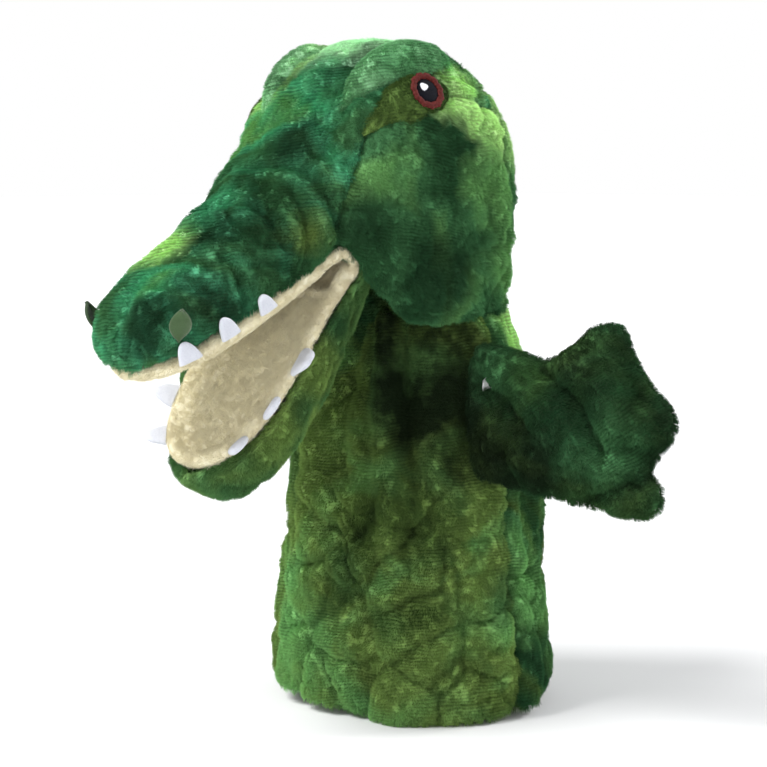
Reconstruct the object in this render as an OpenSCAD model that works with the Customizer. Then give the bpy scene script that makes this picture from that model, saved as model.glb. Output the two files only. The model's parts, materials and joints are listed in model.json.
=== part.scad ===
// Crocodile hand puppet with a mouth that opens and closes.
// Millimetres. The origin is the middle of the hand opening at the hem; the puppet
// faces -Y, +Z is up and its left arm reaches along +X.

/* [Body] */
// Height of the cloth body, hem to neck
body_h = 164; // [150:1:180]
// Half-width of the body at the hem
hem_half_w = 66; // [60:1:72]
// Half-depth of the body at the hem
hem_half_d = 57; // [50:1:64]
// Thickness of the plush, backing and pile together
plush = 2.4; // [1.6:0.2:3]

/* [Head] */
// Half-width of the crown at the eyes
crown_half_w = 52; // [46:1:56]
// Thickness of the plush on the head
head_plush = 2.2; // [1.6:0.2:2.8]

/* [Mouth] */
// Angle of the palate below the horizontal
palate_drop = 28.7; // [20:0.1:35]
// Angle of the lower jaw below the horizontal, mouth open
jaw_drop = 52; // [45:0.5:60]
// Length of each half of the mouth lining
mouth_l = 113; // [100:1:116]
// Half-width of the mouth lining
mouth_half_w = 29; // [24:0.5:32]
// Thickness of the stiff board behind each lining
board = 1.5; // [1:0.1:2.5]

/* [Arms] */
// Reach of each arm from its shoulder seam
arm_reach = 86; // [65:1:95]
// Half-thickness of a stuffed arm
arm_half_t = 13; // [8:0.5:16]
// How far the left arm is swung back, degrees
left_arm_back = 15; // [-10:1:20]
// How far the right arm is swung forward, degrees
right_arm_forward = 4; // [-10:1:25]

/* [Hidden] */
gap = 0.4;                   // play between neighbouring pieces of one body
lining = 1.2;                // thickness of the mouth lining
felt = 1.5;                  // thickness of a felt piece
wall = 1.2;                  // thickness of a pocket's cloth
jaw_hinge = [0, -54, 202];   // fold of the mouth lining
palate_root = [0, -54, 205.6];
shoulder = [56.5, -17, 129]; // where each arm's seam stands out from the body
arc_fn = 48;

function mix(a, b, f) = a + (b - a) * f;
function signed_pow(v, e) = sign(v) * pow(abs(v), e);
function steps(n) = [for (i = [0:n]) i / n];

// Reads a table of rows at key y, the keys running upward, columns after the first.
function row_at(rows, y, i = 0) =
    i >= len(rows) - 2 || y < rows[i + 1][0]
        ? mix(rows[i], rows[i + 1], (y - rows[i][0]) / (rows[i + 1][0] - rows[i][0]))
        : row_at(rows, y, i + 1);

/* ---- closed solids from grids of points ---- */

function grid_faces(rows, cols, base, flip) = [
    for (i = [0:rows - 2], j = [0:cols - 2])
        let (a = base + i * cols + j, b = a + 1, c = a + cols, d = c + 1)
            each flip ? [[a, b, d], [a, d, c]] : [[a, d, b], [a, c, d]]
];

function strip_faces(outer, inner, flip) = [
    for (k = [0:len(outer) - 2])
        let (a = outer[k], b = outer[k + 1], c = inner[k], d = inner[k + 1])
            each flip ? [[a, b, d], [a, d, c]] : [[a, d, b], [a, c, d]]
];

// A curved sheet with thickness: two matching grids and the four rims between them.
module sheet_solid(outer, inner) {
    rows = len(outer);
    cols = len(outer[0]);
    half = rows * cols;
    first = [for (j = [0:cols - 1]) j];
    last = [for (j = [0:cols - 1]) (rows - 1) * cols + j];
    left = [for (i = [0:rows - 1]) i * cols];
    right = [for (i = [0:rows - 1]) i * cols + cols - 1];
    function lifted(ids) = [for (id = ids) id + half];
    polyhedron(
        points = concat([for (r = outer) each r], [for (r = inner) each r]),
        faces = concat(
            grid_faces(rows, cols, 0, false),
            grid_faces(rows, cols, half, true),
            strip_faces(first, lifted(first), true),
            strip_faces(last, lifted(last), false),
            strip_faces(left, lifted(left), false),
            strip_faces(right, lifted(right), true)
        )
    );
}

// A closed ring of cloth: the last point of each row joins the first.
module tube_solid(outer, inner) {
    rows = len(outer);
    cols = len(outer[0]);
    half = rows * cols;
    wrap = function(i, j) i * cols + j % cols;
    polyhedron(
        points = concat([for (r = outer) each r], [for (r = inner) each r]),
        faces = concat(
            [for (i = [0:rows - 2], j = [0:cols - 1])
                let (a = wrap(i, j), b = wrap(i, j + 1), c = wrap(i + 1, j), d = wrap(i + 1, j + 1))
                    each [[a, d, b], [a, c, d],
                          [a + half, b + half, d + half], [a + half, d + half, c + half]]],
            [for (i = [0, rows - 1], j = [0:cols - 1])
                let (a = wrap(i, j), b = wrap(i, j + 1))
                    each i == 0 ? [[a, b, b + half], [a, b + half, a + half]]
                                : [[a, b + half, b], [a, a + half, b + half]]]
        )
    );
}

// A filled body: closed rows of points with a flat cap at each end.
module loft_solid(rings) {
    rows = len(rings);
    cols = len(rings[0]);
    wrap = function(i, j) i * cols + j % cols;
    polyhedron(
        points = [for (r = rings) each r],
        faces = concat(
            [for (i = [0:rows - 2], j = [0:cols - 1])
                let (a = wrap(i, j), b = wrap(i, j + 1), c = wrap(i + 1, j), d = wrap(i + 1, j + 1))
                    each [[a, d, b], [a, c, d]]],
            [[for (j = [0:cols - 1]) j]],
            [[for (j = [cols - 1:-1:0]) (rows - 1) * cols + j]]
        )
    );
}

/* ---- body ---- */

// height, half-width, half-depth, all as shares of the body's own sizes
body_rows = [
    [0.00, 1.00, 1.00],
    [0.12, 0.985, 1.00],
    [0.30, 0.93, 0.97],
    [0.48, 0.895, 0.93],
    [0.64, 0.87, 0.89],
    [0.78, 0.82, 0.84],
    [0.90, 0.745, 0.78],
    [1.00, 0.60, 0.69]
];
body_levels = [for (r = body_rows) r[0]];

function body_point(f, turn, inset) =
    let (r = row_at(body_rows, f))
        [(hem_half_w * r[1] - inset) * cos(turn), (hem_half_d * r[2] - inset) * sin(turn), f * body_h];

module body_panel(from_turn, to_turn) {
    turns = [for (s = steps(14)) mix(from_turn, to_turn, s)];
    sheet_solid(
        [for (f = body_levels) [for (t = turns) body_point(f, t, 0)]],
        [for (f = body_levels) [for (t = turns) body_point(f, t, plush)]]
    );
}

module body_front_panel() color("olivedrab") body_panel(180.2, 359.8);

module body_back_panel() color("darkolivegreen") body_panel(0.2, 179.8);

// The turned-up hem inside the hand opening.
module hem_facing() color("seagreen") {
    hem_f = 0.11;
    turns = [for (s = [0:29]) s * 12];
    tube_solid(
        [for (f = [0, hem_f / 2, hem_f]) [for (t = turns) body_point(f, t, plush + gap)]],
        [for (f = [0, hem_f / 2, hem_f]) [for (t = turns) body_point(f, t, plush + gap + wall)]]
    );
}

// A plain care label sewn into the side seam, hanging inside the body.
module care_label() color("white") {
    label_w = 18;
    label_h = 26;
    inside = plush + gap + 2 * wall;
    translate([hem_half_w * 0.93 - inside - 2, -label_w / 2, 24]) cube([0.5, label_w, label_h]);
}

/* ---- neck ---- */

neck_r = 32.5;
neck_low = 150;
neck_high = 180;

module neck_sleeve() color("yellowgreen")
    translate([0, 0, neck_low]) difference() {
        cylinder(r = neck_r, h = neck_high - neck_low, $fn = arc_fn);
        translate([0, 0, -1]) cylinder(r = neck_r - plush, h = neck_high - neck_low + 2, $fn = arc_fn);
    }

/* ---- head ---- */

function palate_z(y) = palate_root[2] + (y - palate_root[1]) * tan(palate_drop);
lip_lift = 1.7;              // skin's lower edge stands this far above the palate plane

// y, half-width, top, height of the widest line, lower edge, half-width there
head_rows = [
    [-157.5, 2.5, palate_z(-157.5) + 13, palate_z(-157.5) + 10, palate_z(-157.5) + 7.5, 0.6],
    [-156.3, 12, palate_z(-156.3) + 22, palate_z(-156.3) + 11, palate_z(-156.3) + 4, 0.8],
    [-153, 19.5, palate_z(-153) + 28, palate_z(-153) + 11, palate_z(-153) + 2.2, 1],
    [-149, 23.5, palate_z(-149) + 31, palate_z(-149) + 10.5, palate_z(-149) + lip_lift, 9],
    [-144, 26, palate_z(-144) + 32.5, palate_z(-144) + 10, palate_z(-144) + lip_lift, 16.5],
    [-137, 28.5, palate_z(-137) + 34, palate_z(-137) + 9.5, palate_z(-137) + lip_lift, 22.5],
    [-120, 31.5, palate_z(-120) + 36, palate_z(-120) + 9, palate_z(-120) + lip_lift, 28],
    [-102, 33.5, palate_z(-102) + 38, palate_z(-102) + 10, palate_z(-102) + lip_lift, 29],
    [-86, 35.5, 230, palate_z(-86) + 12, palate_z(-86) + lip_lift, 29.5],
    [-74, 38.5, 244, palate_z(-74) + 14, palate_z(-74) + lip_lift, 31],
    [-64, 42.5, 258, 214, 194, 35],
    [-55, 46, 270, 217, 183, 40],
    [-46, 48.5, 277, 219, 174, 44],
    [-34, 51, 282, 220, 169, 46],
    [-18, crown_half_w, 284.5, 220, 168, 46],
    [-2, 50.5, 283, 218, 168.5, 45.5],
    [12, 46.5, 276, 217, 170, 43],
    [24, 38.5, 264, 215, 172, 33],
    [33, 27, 248, 212, 173, 18],
    [37.5, 14, 232, 208, 176, 4],
    [39, 2, 213, 204, 180, 0.6]
];
head_ys = [for (r = head_rows) r[0]];

// Point of the head's skin: t runs from the left lower edge (0) over the top to the right (1).
function head_point(y, t) =
    let (
        r = row_at(head_rows, y),
        side = t <= 0.5 ? 1 : -1,
        q = t <= 0.5 ? 2 * t : 2 - 2 * t,
        low = min(q / 0.3, 1) * 90,
        up = max((q - 0.3) / 0.7, 0) * 90,
        x = q < 0.3 ? mix(r[5], r[1], sin(low)) : r[1] * pow(max(cos(up), 0), 0.84),
        z = q < 0.3 ? mix(r[4], r[3], 1 - cos(low)) : mix(r[3], r[2], pow(sin(up), 0.9))
    ) [side * x, y, z];

function unit(v) = v / norm(v);

function head_normal(y, t) =
    let (
        y0 = max(y - 2, head_ys[0]),
        y1 = min(y + 2, head_ys[len(head_ys) - 1]),
        t0 = max(t - 0.02, 0),
        t1 = min(t + 0.02, 1),
        along = head_point(y1, t) - head_point(y0, t),
        around = head_point(y, t1) - head_point(y, t0)
    ) unit(cross(along, around));

function head_skin(y, t, out) = head_point(y, t) + out * head_normal(y, t);

// A panel of the head between two lower edges given as functions of y.
module head_panel(ys, t_from, t_to, cols, low = -head_plush, high = 0) {
    function ts(y) = [for (s = steps(cols)) mix(t_from(y), t_to(y), s)];
    sheet_solid(
        [for (y = ys) [for (t = ts(y)) head_skin(y, t, high)]],
        [for (y = ys) [for (t = ts(y)) head_skin(y, t, low)]]
    );
}

cheek_top = 0.29;            // seam between crown and cheek, as a share of the way round
cheek_front = -76;           // the seam drops to the mouth corner here
seam_back = -62;             // and leaves the crown seam here
seam_bow = 0.6;              // below 1 the seam bows forward in between
nape_from = 12;              // seam between the crown and the nape

function cheek_seam(y) =
    y <= cheek_front ? 0
    : y >= seam_back ? cheek_top
    : cheek_top * pow((y - cheek_front) / (seam_back - cheek_front), seam_bow);

module crown_panel() color("seagreen")
    head_panel(
        concat([for (y = head_ys) if (y < cheek_front) y],
               [cheek_front, -75, -73, -70, -66, seam_back],
               [for (y = head_ys) if (y > seam_back && y < nape_from) y],
               [nape_from]),
        function(y) cheek_seam(y),
        function(y) 1 - cheek_seam(y),
        20
    );

module cheek(side) {
    ys = [-75, -73, -70, -66, seam_back, -55, -46, -34, -18, -2, nape_from];
    from = function(y) side > 0 ? 0 : 1 - cheek_seam(y) + 0.003;
    to = function(y) side > 0 ? cheek_seam(y) - 0.003 : 1;
    head_panel(ys, from, to, 8);
}

module left_cheek() color("olivedrab") cheek(1);

module right_cheek() color("olivedrab") cheek(-1);

module nape_panel() color("darkolivegreen")
    head_panel([nape_from + 0.3, 18, 24, 29, 33, 36, 38, 39], function(y) 0, function(y) 1, 18);

// A raised pad that follows the skin inside a lens shape between two y values.
module skin_pad(side, y_from, y_to, t_low, t_high, base, crown, cols = 8, rows = 8) {
    span = y_to - y_from;
    ys = [for (s = steps(rows)) y_from + span * (0.03 + 0.94 * s)];
    function bulge(y) = sqrt(max(sin(180 * (y - y_from) / span), 0));
    function t_at(y, s) =
        let (
            middle = (t_low + t_high) / 2,
            half = (t_high - t_low) / 2 * bulge(y),
            t = middle + half * (2 * s - 1)
        ) side > 0 ? t : 1 - t;
    function lift(y, s) = base + 0.5 + (crown - 0.5) * bulge(y) * sin(180 * s);
    outer = [for (y = ys) [for (s = steps(cols)) head_skin(y, t_at(y, s), lift(y, s))]];
    inner = [for (y = ys) [for (s = steps(cols)) head_skin(y, t_at(y, s), base)]];
    if (side > 0) sheet_solid(outer, inner);
    else sheet_solid(inner, outer);
}

brow_t = [0.335, 0.44];

module brow(side) color("mediumseagreen") skin_pad(side, -64, -12, brow_t[0], brow_t[1], 0.3, 8);

module left_brow() brow(1);

module right_brow() brow(-1);

eye_y = -36;
eye_t = 0.285;

module eye_patch(side) color("olive") skin_pad(side, -62, -14, 0.235, 0.332, 0.3, 2.6);

module left_eye_patch() eye_patch(1);

module right_eye_patch() eye_patch(-1);

// Puts a child on the skin at the eye, its +Z standing out of the head.
module at_eye(side, out) {
    t = side > 0 ? eye_t : 1 - eye_t;
    p = head_skin(eye_y, t, out);
    n = head_normal(eye_y, t);
    translate(p) rotate([0, acos(n[2]), atan2(n[1], n[0])]) children();
}

iris_r = 8.2;
pupil_r = 4.9;
highlight_r = 2;
eye_out = 3.8;

module iris_ring() color("sienna") difference() {
    cylinder(r = iris_r, h = felt, $fn = arc_fn);
    translate([0, 0, -1]) cylinder(r = pupil_r + 0.1, h = felt + 2, $fn = arc_fn);
}

module left_iris() at_eye(1, eye_out) iris_ring();

module right_iris() at_eye(-1, eye_out) iris_ring();

module pupil_disc() color("black") cylinder(r = pupil_r, h = felt + 0.4, $fn = arc_fn);

module left_pupil() at_eye(1, eye_out) pupil_disc();

module right_pupil() at_eye(-1, eye_out) pupil_disc();

module highlight_dot() color("white") cylinder(r = highlight_r, h = 0.5, $fn = 24);

module left_highlight() at_eye(1, eye_out + felt + 0.45) highlight_dot();

module right_highlight() at_eye(-1, eye_out + felt + 0.45) highlight_dot();

// A felt leaf beside the tip of the snout over each nostril, pointing out, forward and up.
module nostril_leaf(side) {
    leaf_h = 14;
    leaf_w = 9.4;
    leaf_r = (pow(leaf_h, 2) + pow(leaf_w, 2)) / 4 / leaf_w;
    foot = [side * 25.6, -148, 165];
    tilt = 45;
    turn = 30;
    translate(foot)
        rotate([0, side * tilt, -side * turn])
            rotate([90, 0, 90])
                linear_extrude(felt, center = true)
                    intersection_for(across = [-1, 1])
                        translate([across * (leaf_r - leaf_w / 2), leaf_h / 2])
                            circle(r = leaf_r, $fn = arc_fn);
}

module left_nostril() color("yellowgreen") nostril_leaf(1);

module right_nostril() color("darkolivegreen") nostril_leaf(-1);

/* ---- upper mouth ---- */

// Half-width of the mouth lining at a distance along it: straight sides, rounded tip.
function mouth_w(along, inset = 0) =
    let (u = max(along - mouth_l / 2, 0) / (mouth_l / 2 - inset))
        (mouth_half_w - inset) * sqrt(max(1 - pow(u, 3), 0));

// Outline of a mouth half: the fold is at y = 0, the tip at y = -mouth_l.
module mouth_outline(inset = 0, back = 12) {
    tip = mouth_l - inset;
    alongs = concat([back, mouth_l / 2], [for (s = steps(14)) mix(mouth_l * 0.6, tip, sin(90 * s))]);
    left = [for (a = alongs) [mouth_w(a, inset), -a]];
    right = [for (i = [len(alongs) - 2:-1:0]) [-mouth_w(alongs[i], inset), -alongs[i]]];
    polygon(concat(left, right));
}

// The upper mouth's own frame: palate plane at z = 0, inside of the head above it.
module on_palate() translate(palate_root) rotate([palate_drop, 0, 0]) children();

// The lower mouth's own frame: floor plane at z = 0, jaw below it.
module on_jaw() translate(jaw_hinge) rotate([jaw_drop, 0, 0]) children();

module palate() color("ivory") on_palate()
    linear_extrude(lining) mouth_outline();

module upper_board() color("tan") on_palate()
    translate([0, 0, lining + 0.1]) linear_extrude(board) mouth_outline(inset = 4, back = 16);

// A cloth pocket: a flat box open at the back, round at the front.
module pocket(half_w, height, from_y, length) {
    module footprint(inset) {
        r = half_w * 0.6 - inset;
        translate([0, -from_y]) union() {
            translate([-half_w + inset, -length + half_w * 0.6]) square([2 * (half_w - inset), length - half_w * 0.6]);
            for (s = [-1, 1])
                translate([s * (half_w * 0.4), -length + half_w * 0.6]) circle(r = r, $fn = arc_fn);
            translate([-half_w * 0.4, -length + inset]) square([half_w * 0.8, half_w * 0.6]);
        }
    }
    difference() {
        linear_extrude(height) footprint(0);
        translate([0, 0, wall]) linear_extrude(height - 2 * wall) union() {
            footprint(wall);
            translate([-half_w + wall, -from_y - 1]) square([2 * (half_w - wall), 2]);
        }
    }
}

finger_h = 19;
thumb_h = 17;
pocket_lift = lining + board + 0.3;

module finger_pocket() color("lightgrey") on_palate()
    translate([0, 0, pocket_lift]) pocket(23.5, finger_h, 18, 56);

/* ---- upper stuffing ---- */

// Half-ellipse standing on a level line: used for stuffing under the domed skin.
function dome_ring(y, half_w, low, high) =
    [for (s = steps(18)) [half_w * cos(180 * s), y, low + (high - low) * sin(180 * s)]];

module crown_stuffing() color("white") {
    floor_z = 236;
    loft_solid([
        for (y = [-58, -50, -40, -28, -16, -4, 8, 18, 25])
            let (r = row_at(head_rows, y), inset = head_plush + 2.5, rise = (floor_z - r[3]) / (r[2] - r[3]))
                dome_ring(y, (r[1] - inset) * sqrt(max(1 - rise * rise, 0.05)), floor_z, r[2] - inset)
    ]);
}

module snout_stuffing() color("white") {
    above = (pocket_lift + finger_h + 0.8) / cos(palate_drop);
    front = -133;
    loft_solid([
        for (y = [-149, -145, -141, -137, front, front + 2, -120, -106, -94])
            let (
                r = row_at(head_rows, y),
                low = palate_z(y) + (y < front + 1 ? (lining + board + 2.4) / cos(palate_drop) : above),
                rise = max((low - r[3]) / (r[2] - r[3]), 0)
            ) dome_ring(y, (r[1] - 4) * sqrt(max(1 - rise * rise, 0.1)) * (y < front + 1 ? 0.8 : 0.86), low, r[2] - 4.4)
    ]);
}

/* ---- lower jaw ---- */

// distance from the hinge, half-width, depth, half-width at the lip
jaw_rows = [
    [-118, 1.5, 14, 0.6],
    [-117.2, 9, 18.5, 0.8],
    [-114, 16.5, 22, 1],
    [-109, 22, 24, 10],
    [-101, 27, 27, 19],
    [-90, 30.5, 28.5, 25.5],
    [-76, 32.5, 29.5, 28.2],
    [-58, 34, 29.3, 29],
    [-40, 34.5, 27.3, 29],
    [-22, 34.5, 24, 29]
];
jaw_ys = [for (r = jaw_rows) r[0]];

// A row of the jaw's skin: the near lip, round the underside, the far lip.
// The inner face is drawn in by the inset all round and shortened by it at the chin.
function jaw_row(y, inset) =
    let (
        r = row_at(jaw_rows, y),
        tip = jaw_ys[0],
        back = jaw_ys[len(jaw_ys) - 1],
        a = max(r[1] - inset, r[1] * 0.5),
        lip = max(r[3] - inset, r[3] * 0.5),
        top = -lip_lift - inset,
        at = y + inset * (back - y) / (back - tip)
    ) concat(
        [[lip, at, top]],
        [for (s = steps(16))
            [a * signed_pow(cos(180 * s), 0.85), at, top - 3 - (r[2] - 3 - 2 * inset) * pow(sin(180 * s), 0.85)]],
        [[-lip, at, top]]
    );

module jaw_skin() color("olivedrab") on_jaw()
    sheet_solid([for (y = jaw_ys) jaw_row(y, 0)], [for (y = jaw_ys) jaw_row(y, head_plush)]);

module mouth_floor() color("ivory") on_jaw()
    translate([0, 0, -lining]) linear_extrude(lining) mouth_outline();

module lower_board() color("tan") on_jaw()
    translate([0, 0, -lining - 0.1 - board]) linear_extrude(board) mouth_outline(inset = 4, back = 16);

module thumb_pocket() color("lightgrey") on_jaw()
    translate([0, 0, -pocket_lift - thumb_h]) pocket(20, thumb_h, 20, 48);

module jaw_stuffing() color("white") on_jaw() {
    front = -70;
    loft_solid([
        for (y = [-103, -98, -90, -80, front, front + 2, -56, -42, -30])
            let (
                r = row_at(jaw_rows, y),
                top = pocket_lift + (y < front + 1 ? 3.5 : thumb_h + 0.4),
                depth = r[2] - head_plush - 1 + lip_lift,
                share = sqrt(1 - pow(top / (depth + 1.5), 2)) * 0.78
            ) [for (s = steps(18)) [
                (r[1] - head_plush) * share * cos(180 * s), y, -top - (depth - top) * sin(180 * s)]]
    ]);
}

/* ---- teeth ---- */

tooth_t = 3.4;

// A rounded felt tooth: width, height.
module tooth(w, h) {
    r = w * 0.3;
    linear_extrude(tooth_t, center = true) {
        translate([0, h - r]) circle(r = r, $fn = 24);
        polygon([[-w / 2, 0], [w / 2, 0], [w / 2 * 0.92, h * 0.35], [r * 0.9, h - r * 0.55],
                 [-r * 0.9, h - r * 0.55], [-w / 2 * 0.92, h * 0.35]]);
    }
}

// Stands a tooth beside the lip: along the mouth, out from the middle, turned, size.
module lip_tooth(side, along, out, turn, lean, w, h, rise)
    translate([side * out, -along, rise])
        rotate([0, 0, -side * turn])
            rotate([90, 0, 90])
                rotate([side * lean, 0, 0])
                    tooth(w, h);

// along, out, turn, lean, width, height
upper_teeth = [[102, 29.2, 30, 4, 9.5, 8], [84, 33.6, 10, 4, 9, 8], [65, 37.2, 4, 4, 8.5, 7]];
lower_teeth = [[62, 31.2, 2, 70, 13, 11], [84, 29.8, 8, 54, 11, 9.5], [102, 22.2, 32, 58, 10, 9]];

module upper_tooth(side, k) color("white") on_palate()
    lip_tooth(side, upper_teeth[k][0], upper_teeth[k][1], upper_teeth[k][2],
              upper_teeth[k][3], upper_teeth[k][4], upper_teeth[k][5], 1.5);

module lower_tooth(side, k) color("white") on_jaw()
    lip_tooth(side, lower_teeth[k][0], lower_teeth[k][1], lower_teeth[k][2],
              lower_teeth[k][3], lower_teeth[k][4], lower_teeth[k][5], 0.9);

module upper_left_tooth_1() upper_tooth(1, 0);
module upper_left_tooth_2() upper_tooth(1, 1);
module upper_left_tooth_3() upper_tooth(1, 2);
module upper_right_tooth_1() upper_tooth(-1, 0);
module upper_right_tooth_2() upper_tooth(-1, 1);
module upper_right_tooth_3() upper_tooth(-1, 2);
module lower_left_tooth_1() lower_tooth(1, 0);
module lower_left_tooth_2() lower_tooth(1, 1);
module lower_left_tooth_3() lower_tooth(1, 2);
module lower_right_tooth_1() lower_tooth(-1, 0);
module lower_right_tooth_2() lower_tooth(-1, 1);
module lower_right_tooth_3() lower_tooth(-1, 2);

/* ---- arms ---- */

// Outline of an arm and paw: share of the reach, height above the shoulder's middle.
arm_outline = [
    [0, -29], [0, -15], [-0.01, 0], [-0.04, 15], [-0.08, 27],
    [0.16, 30], [0.36, 31], [0.50, 33], [0.64, 40], [0.74, 39.5],
    [0.80, 31], [0.84, 21], [0.89, 15], [0.96, 12], [1, 5], [0.98, -3],
    [0.91, -11], [0.87, -18], [0.90, -28], [0.88, -36], [0.78, -40],
    [0.64, -38], [0.48, -34.5], [0.30, -31.5], [0.14, -30]
];
arm_middle = [0.5 * arm_reach, -1];
arm_rings = [0, 0.05, 0.14, 0.28, 0.46, 0.68, 0.9];

function arm_depth(f, half_t) = half_t * sqrt(1 - pow(1 - f, 2.6));

// A ring of the pillow: the outline drawn in toward the middle, at its own depth.
function arm_ring(f, inset, half_t) = [
    for (p = arm_outline)
        let (
            q = [p[0] * arm_reach, p[1]],
            to_middle = arm_middle - q,
            drawn = q + to_middle * (f + inset / norm(to_middle) * (1 - f))
        ) [drawn[0], -arm_depth(f, half_t), drawn[1]]
];

// One face of the pillow, made of plush.
module arm_face() {
    seam = 0.1;
    n = len(arm_outline);
    rings = len(arm_rings);
    outer = [for (f = arm_rings) [for (p = arm_ring(f, 0, arm_half_t)) p - [0, seam, 0]]];
    inner = [for (f = arm_rings) [for (p = arm_ring(f, plush, arm_half_t - plush)) p - [0, seam, 0]]];
    half = n * rings + 1;
    hub_out = n * rings;
    hub_in = half + n * rings;
    wrap = function(i, j) i * n + j % n;
    polyhedron(
        points = concat(
            [for (r = outer) each r], [[arm_middle[0], -arm_half_t - seam, arm_middle[1]]],
            [for (r = inner) each r], [[arm_middle[0], -arm_half_t + plush - seam, arm_middle[1]]]),
        faces = concat(
            [for (i = [0:rings - 2], j = [0:n - 1])
                let (a = wrap(i, j), b = wrap(i, j + 1), c = wrap(i + 1, j), d = wrap(i + 1, j + 1))
                    each [[a, b, d], [a, d, c],
                          [a + half, d + half, b + half], [a + half, c + half, d + half]]],
            [for (j = [0:n - 1])
                let (a = wrap(rings - 1, j), b = wrap(rings - 1, j + 1))
                    each [[a, b, hub_out], [b + half, a + half, hub_in]]],
            [for (j = [0:n - 1])
                let (a = wrap(0, j), b = wrap(0, j + 1))
                    each [[a, b + half, b], [a, a + half, b + half]]]
        )
    );
}

module arm_filling() {
    inset = plush + 0.8;
    half_t = arm_half_t - plush - 0.8;
    rings = concat(
        [for (i = [len(arm_rings) - 1:-1:1]) [for (p = arm_ring(arm_rings[i], inset, half_t)) [p[0], -p[1], p[2]]]],
        [for (f = arm_rings) arm_ring(f, inset, half_t)]
    );
    loft_solid(rings);
}

// Places an arm at its shoulder: side +1 is the puppet's left.
module at_shoulder(side) {
    swing = side > 0 ? left_arm_back : right_arm_forward;
    translate([side * shoulder[0], shoulder[1], shoulder[2]])
        rotate([0, 0, swing])
            mirror([side > 0 ? 0 : 1, 0, 0])
                children();
}

module left_arm_front() color("darkgreen") at_shoulder(1) arm_face();
module left_arm_back_face() color("green") at_shoulder(1) mirror([0, 1, 0]) arm_face();
module left_arm_stuffing() color("white") at_shoulder(1) arm_filling();
module right_arm_front() color("darkgreen") at_shoulder(-1) arm_face();
module right_arm_back_face() color("green") at_shoulder(-1) mirror([0, 1, 0]) arm_face();
module right_arm_stuffing() color("white") at_shoulder(-1) arm_filling();

body_front_panel();
body_back_panel();
hem_facing();
care_label();
neck_sleeve();
crown_panel();
left_cheek();
right_cheek();
nape_panel();
left_brow();
right_brow();
left_eye_patch();
right_eye_patch();
color("sienna") left_iris();
color("sienna") right_iris();
left_pupil();
right_pupil();
left_highlight();
right_highlight();
left_nostril();
right_nostril();
palate();
upper_board();
finger_pocket();
crown_stuffing();
snout_stuffing();
upper_left_tooth_1();
upper_left_tooth_2();
upper_left_tooth_3();
upper_right_tooth_1();
upper_right_tooth_2();
upper_right_tooth_3();
jaw_skin();
mouth_floor();
lower_board();
thumb_pocket();
jaw_stuffing();
lower_left_tooth_1();
lower_left_tooth_2();
lower_left_tooth_3();
lower_right_tooth_1();
lower_right_tooth_2();
lower_right_tooth_3();
left_arm_front();
left_arm_back_face();
left_arm_stuffing();
right_arm_front();
right_arm_back_face();
right_arm_stuffing();
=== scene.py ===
"""Looks of a crocodile hand puppet: plush skins with a real pile, a fleece-lined mouth, felt teeth.

Shapes are worked out in millimetres in the part's own frame and turned into metres when a
piece is made. The puppet faces -Y, +Z is up and its left arm reaches along +X.
"""
import json
import math

import bpy
import numpy as np
from mathutils import Matrix, Vector
from mathutils.geometry import delaunay_2d_cdt


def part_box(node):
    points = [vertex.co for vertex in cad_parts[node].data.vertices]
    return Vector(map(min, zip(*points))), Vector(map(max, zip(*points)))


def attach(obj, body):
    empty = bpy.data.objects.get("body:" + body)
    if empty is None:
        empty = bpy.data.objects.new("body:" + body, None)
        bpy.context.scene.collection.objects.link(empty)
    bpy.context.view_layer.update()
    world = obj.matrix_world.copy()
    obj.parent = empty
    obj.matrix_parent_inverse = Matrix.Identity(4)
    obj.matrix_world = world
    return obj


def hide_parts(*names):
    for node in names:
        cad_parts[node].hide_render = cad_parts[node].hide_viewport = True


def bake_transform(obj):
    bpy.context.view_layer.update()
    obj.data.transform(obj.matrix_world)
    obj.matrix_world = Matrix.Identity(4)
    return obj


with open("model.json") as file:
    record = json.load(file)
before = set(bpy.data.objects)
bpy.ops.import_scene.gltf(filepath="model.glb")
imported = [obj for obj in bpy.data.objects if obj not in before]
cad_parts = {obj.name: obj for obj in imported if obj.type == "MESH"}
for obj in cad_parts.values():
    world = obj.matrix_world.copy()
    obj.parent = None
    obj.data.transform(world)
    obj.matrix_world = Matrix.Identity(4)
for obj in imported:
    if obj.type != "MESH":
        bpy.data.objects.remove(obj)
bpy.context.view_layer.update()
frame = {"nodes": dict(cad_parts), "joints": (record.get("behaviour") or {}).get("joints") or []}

MM = 0.001

# ---------------------------------------------------------------- measures, in millimetres


def box_mm(node):
    """The low and high corners of a node's box."""
    low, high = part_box(node)
    return np.array(low) / MM, np.array(high) / MM


BODY_LOW, BODY_HIGH = box_mm("body_front_panel")
BODY_H = BODY_HIGH[2]
HEM_HALF_W = BODY_HIGH[0]
HEM_HALF_D = -BODY_LOW[1]
JOINT_AT = {j["name"]: np.array(j["pos_m"]) / MM for j in frame["joints"]}
JAW_HINGE = JOINT_AT["jaw_open"]
SHOULDER = JOINT_AT["left_arm_swing"]

PALATE_ROOT = JAW_HINGE + np.array([0, 0, 3.6])
PALATE_DROP = math.radians(28.7)
JAW_DROP = math.radians(52)
MOUTH_L = 113.0
MOUTH_HALF_W = 29.0
LIP_LIFT = 1.7
SKIN_T = 1.5            # backing of the plush, without its pile
ARM_REACH = 86.0
ARM_HALF_T = 13.0
ARM_TURN = {1: math.radians(15), -1: math.radians(-4)}
CHEEK_TOP = 0.29        # share of the way round the head at the crown's side seam
CHEEK_FRONT = -70.0
SEAM_BACK = -62.0
SEAM_BOW = 11.0         # how far the seam between snout and cheek bows forward
NAPE_FROM = 12.0
SNOUT_TIP = -157.5
HEAD_BACK = 39.0
JAW_TIP = -118.0        # in the jaw's own frame, from its hinge
JAW_REAR = -8.0

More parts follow.
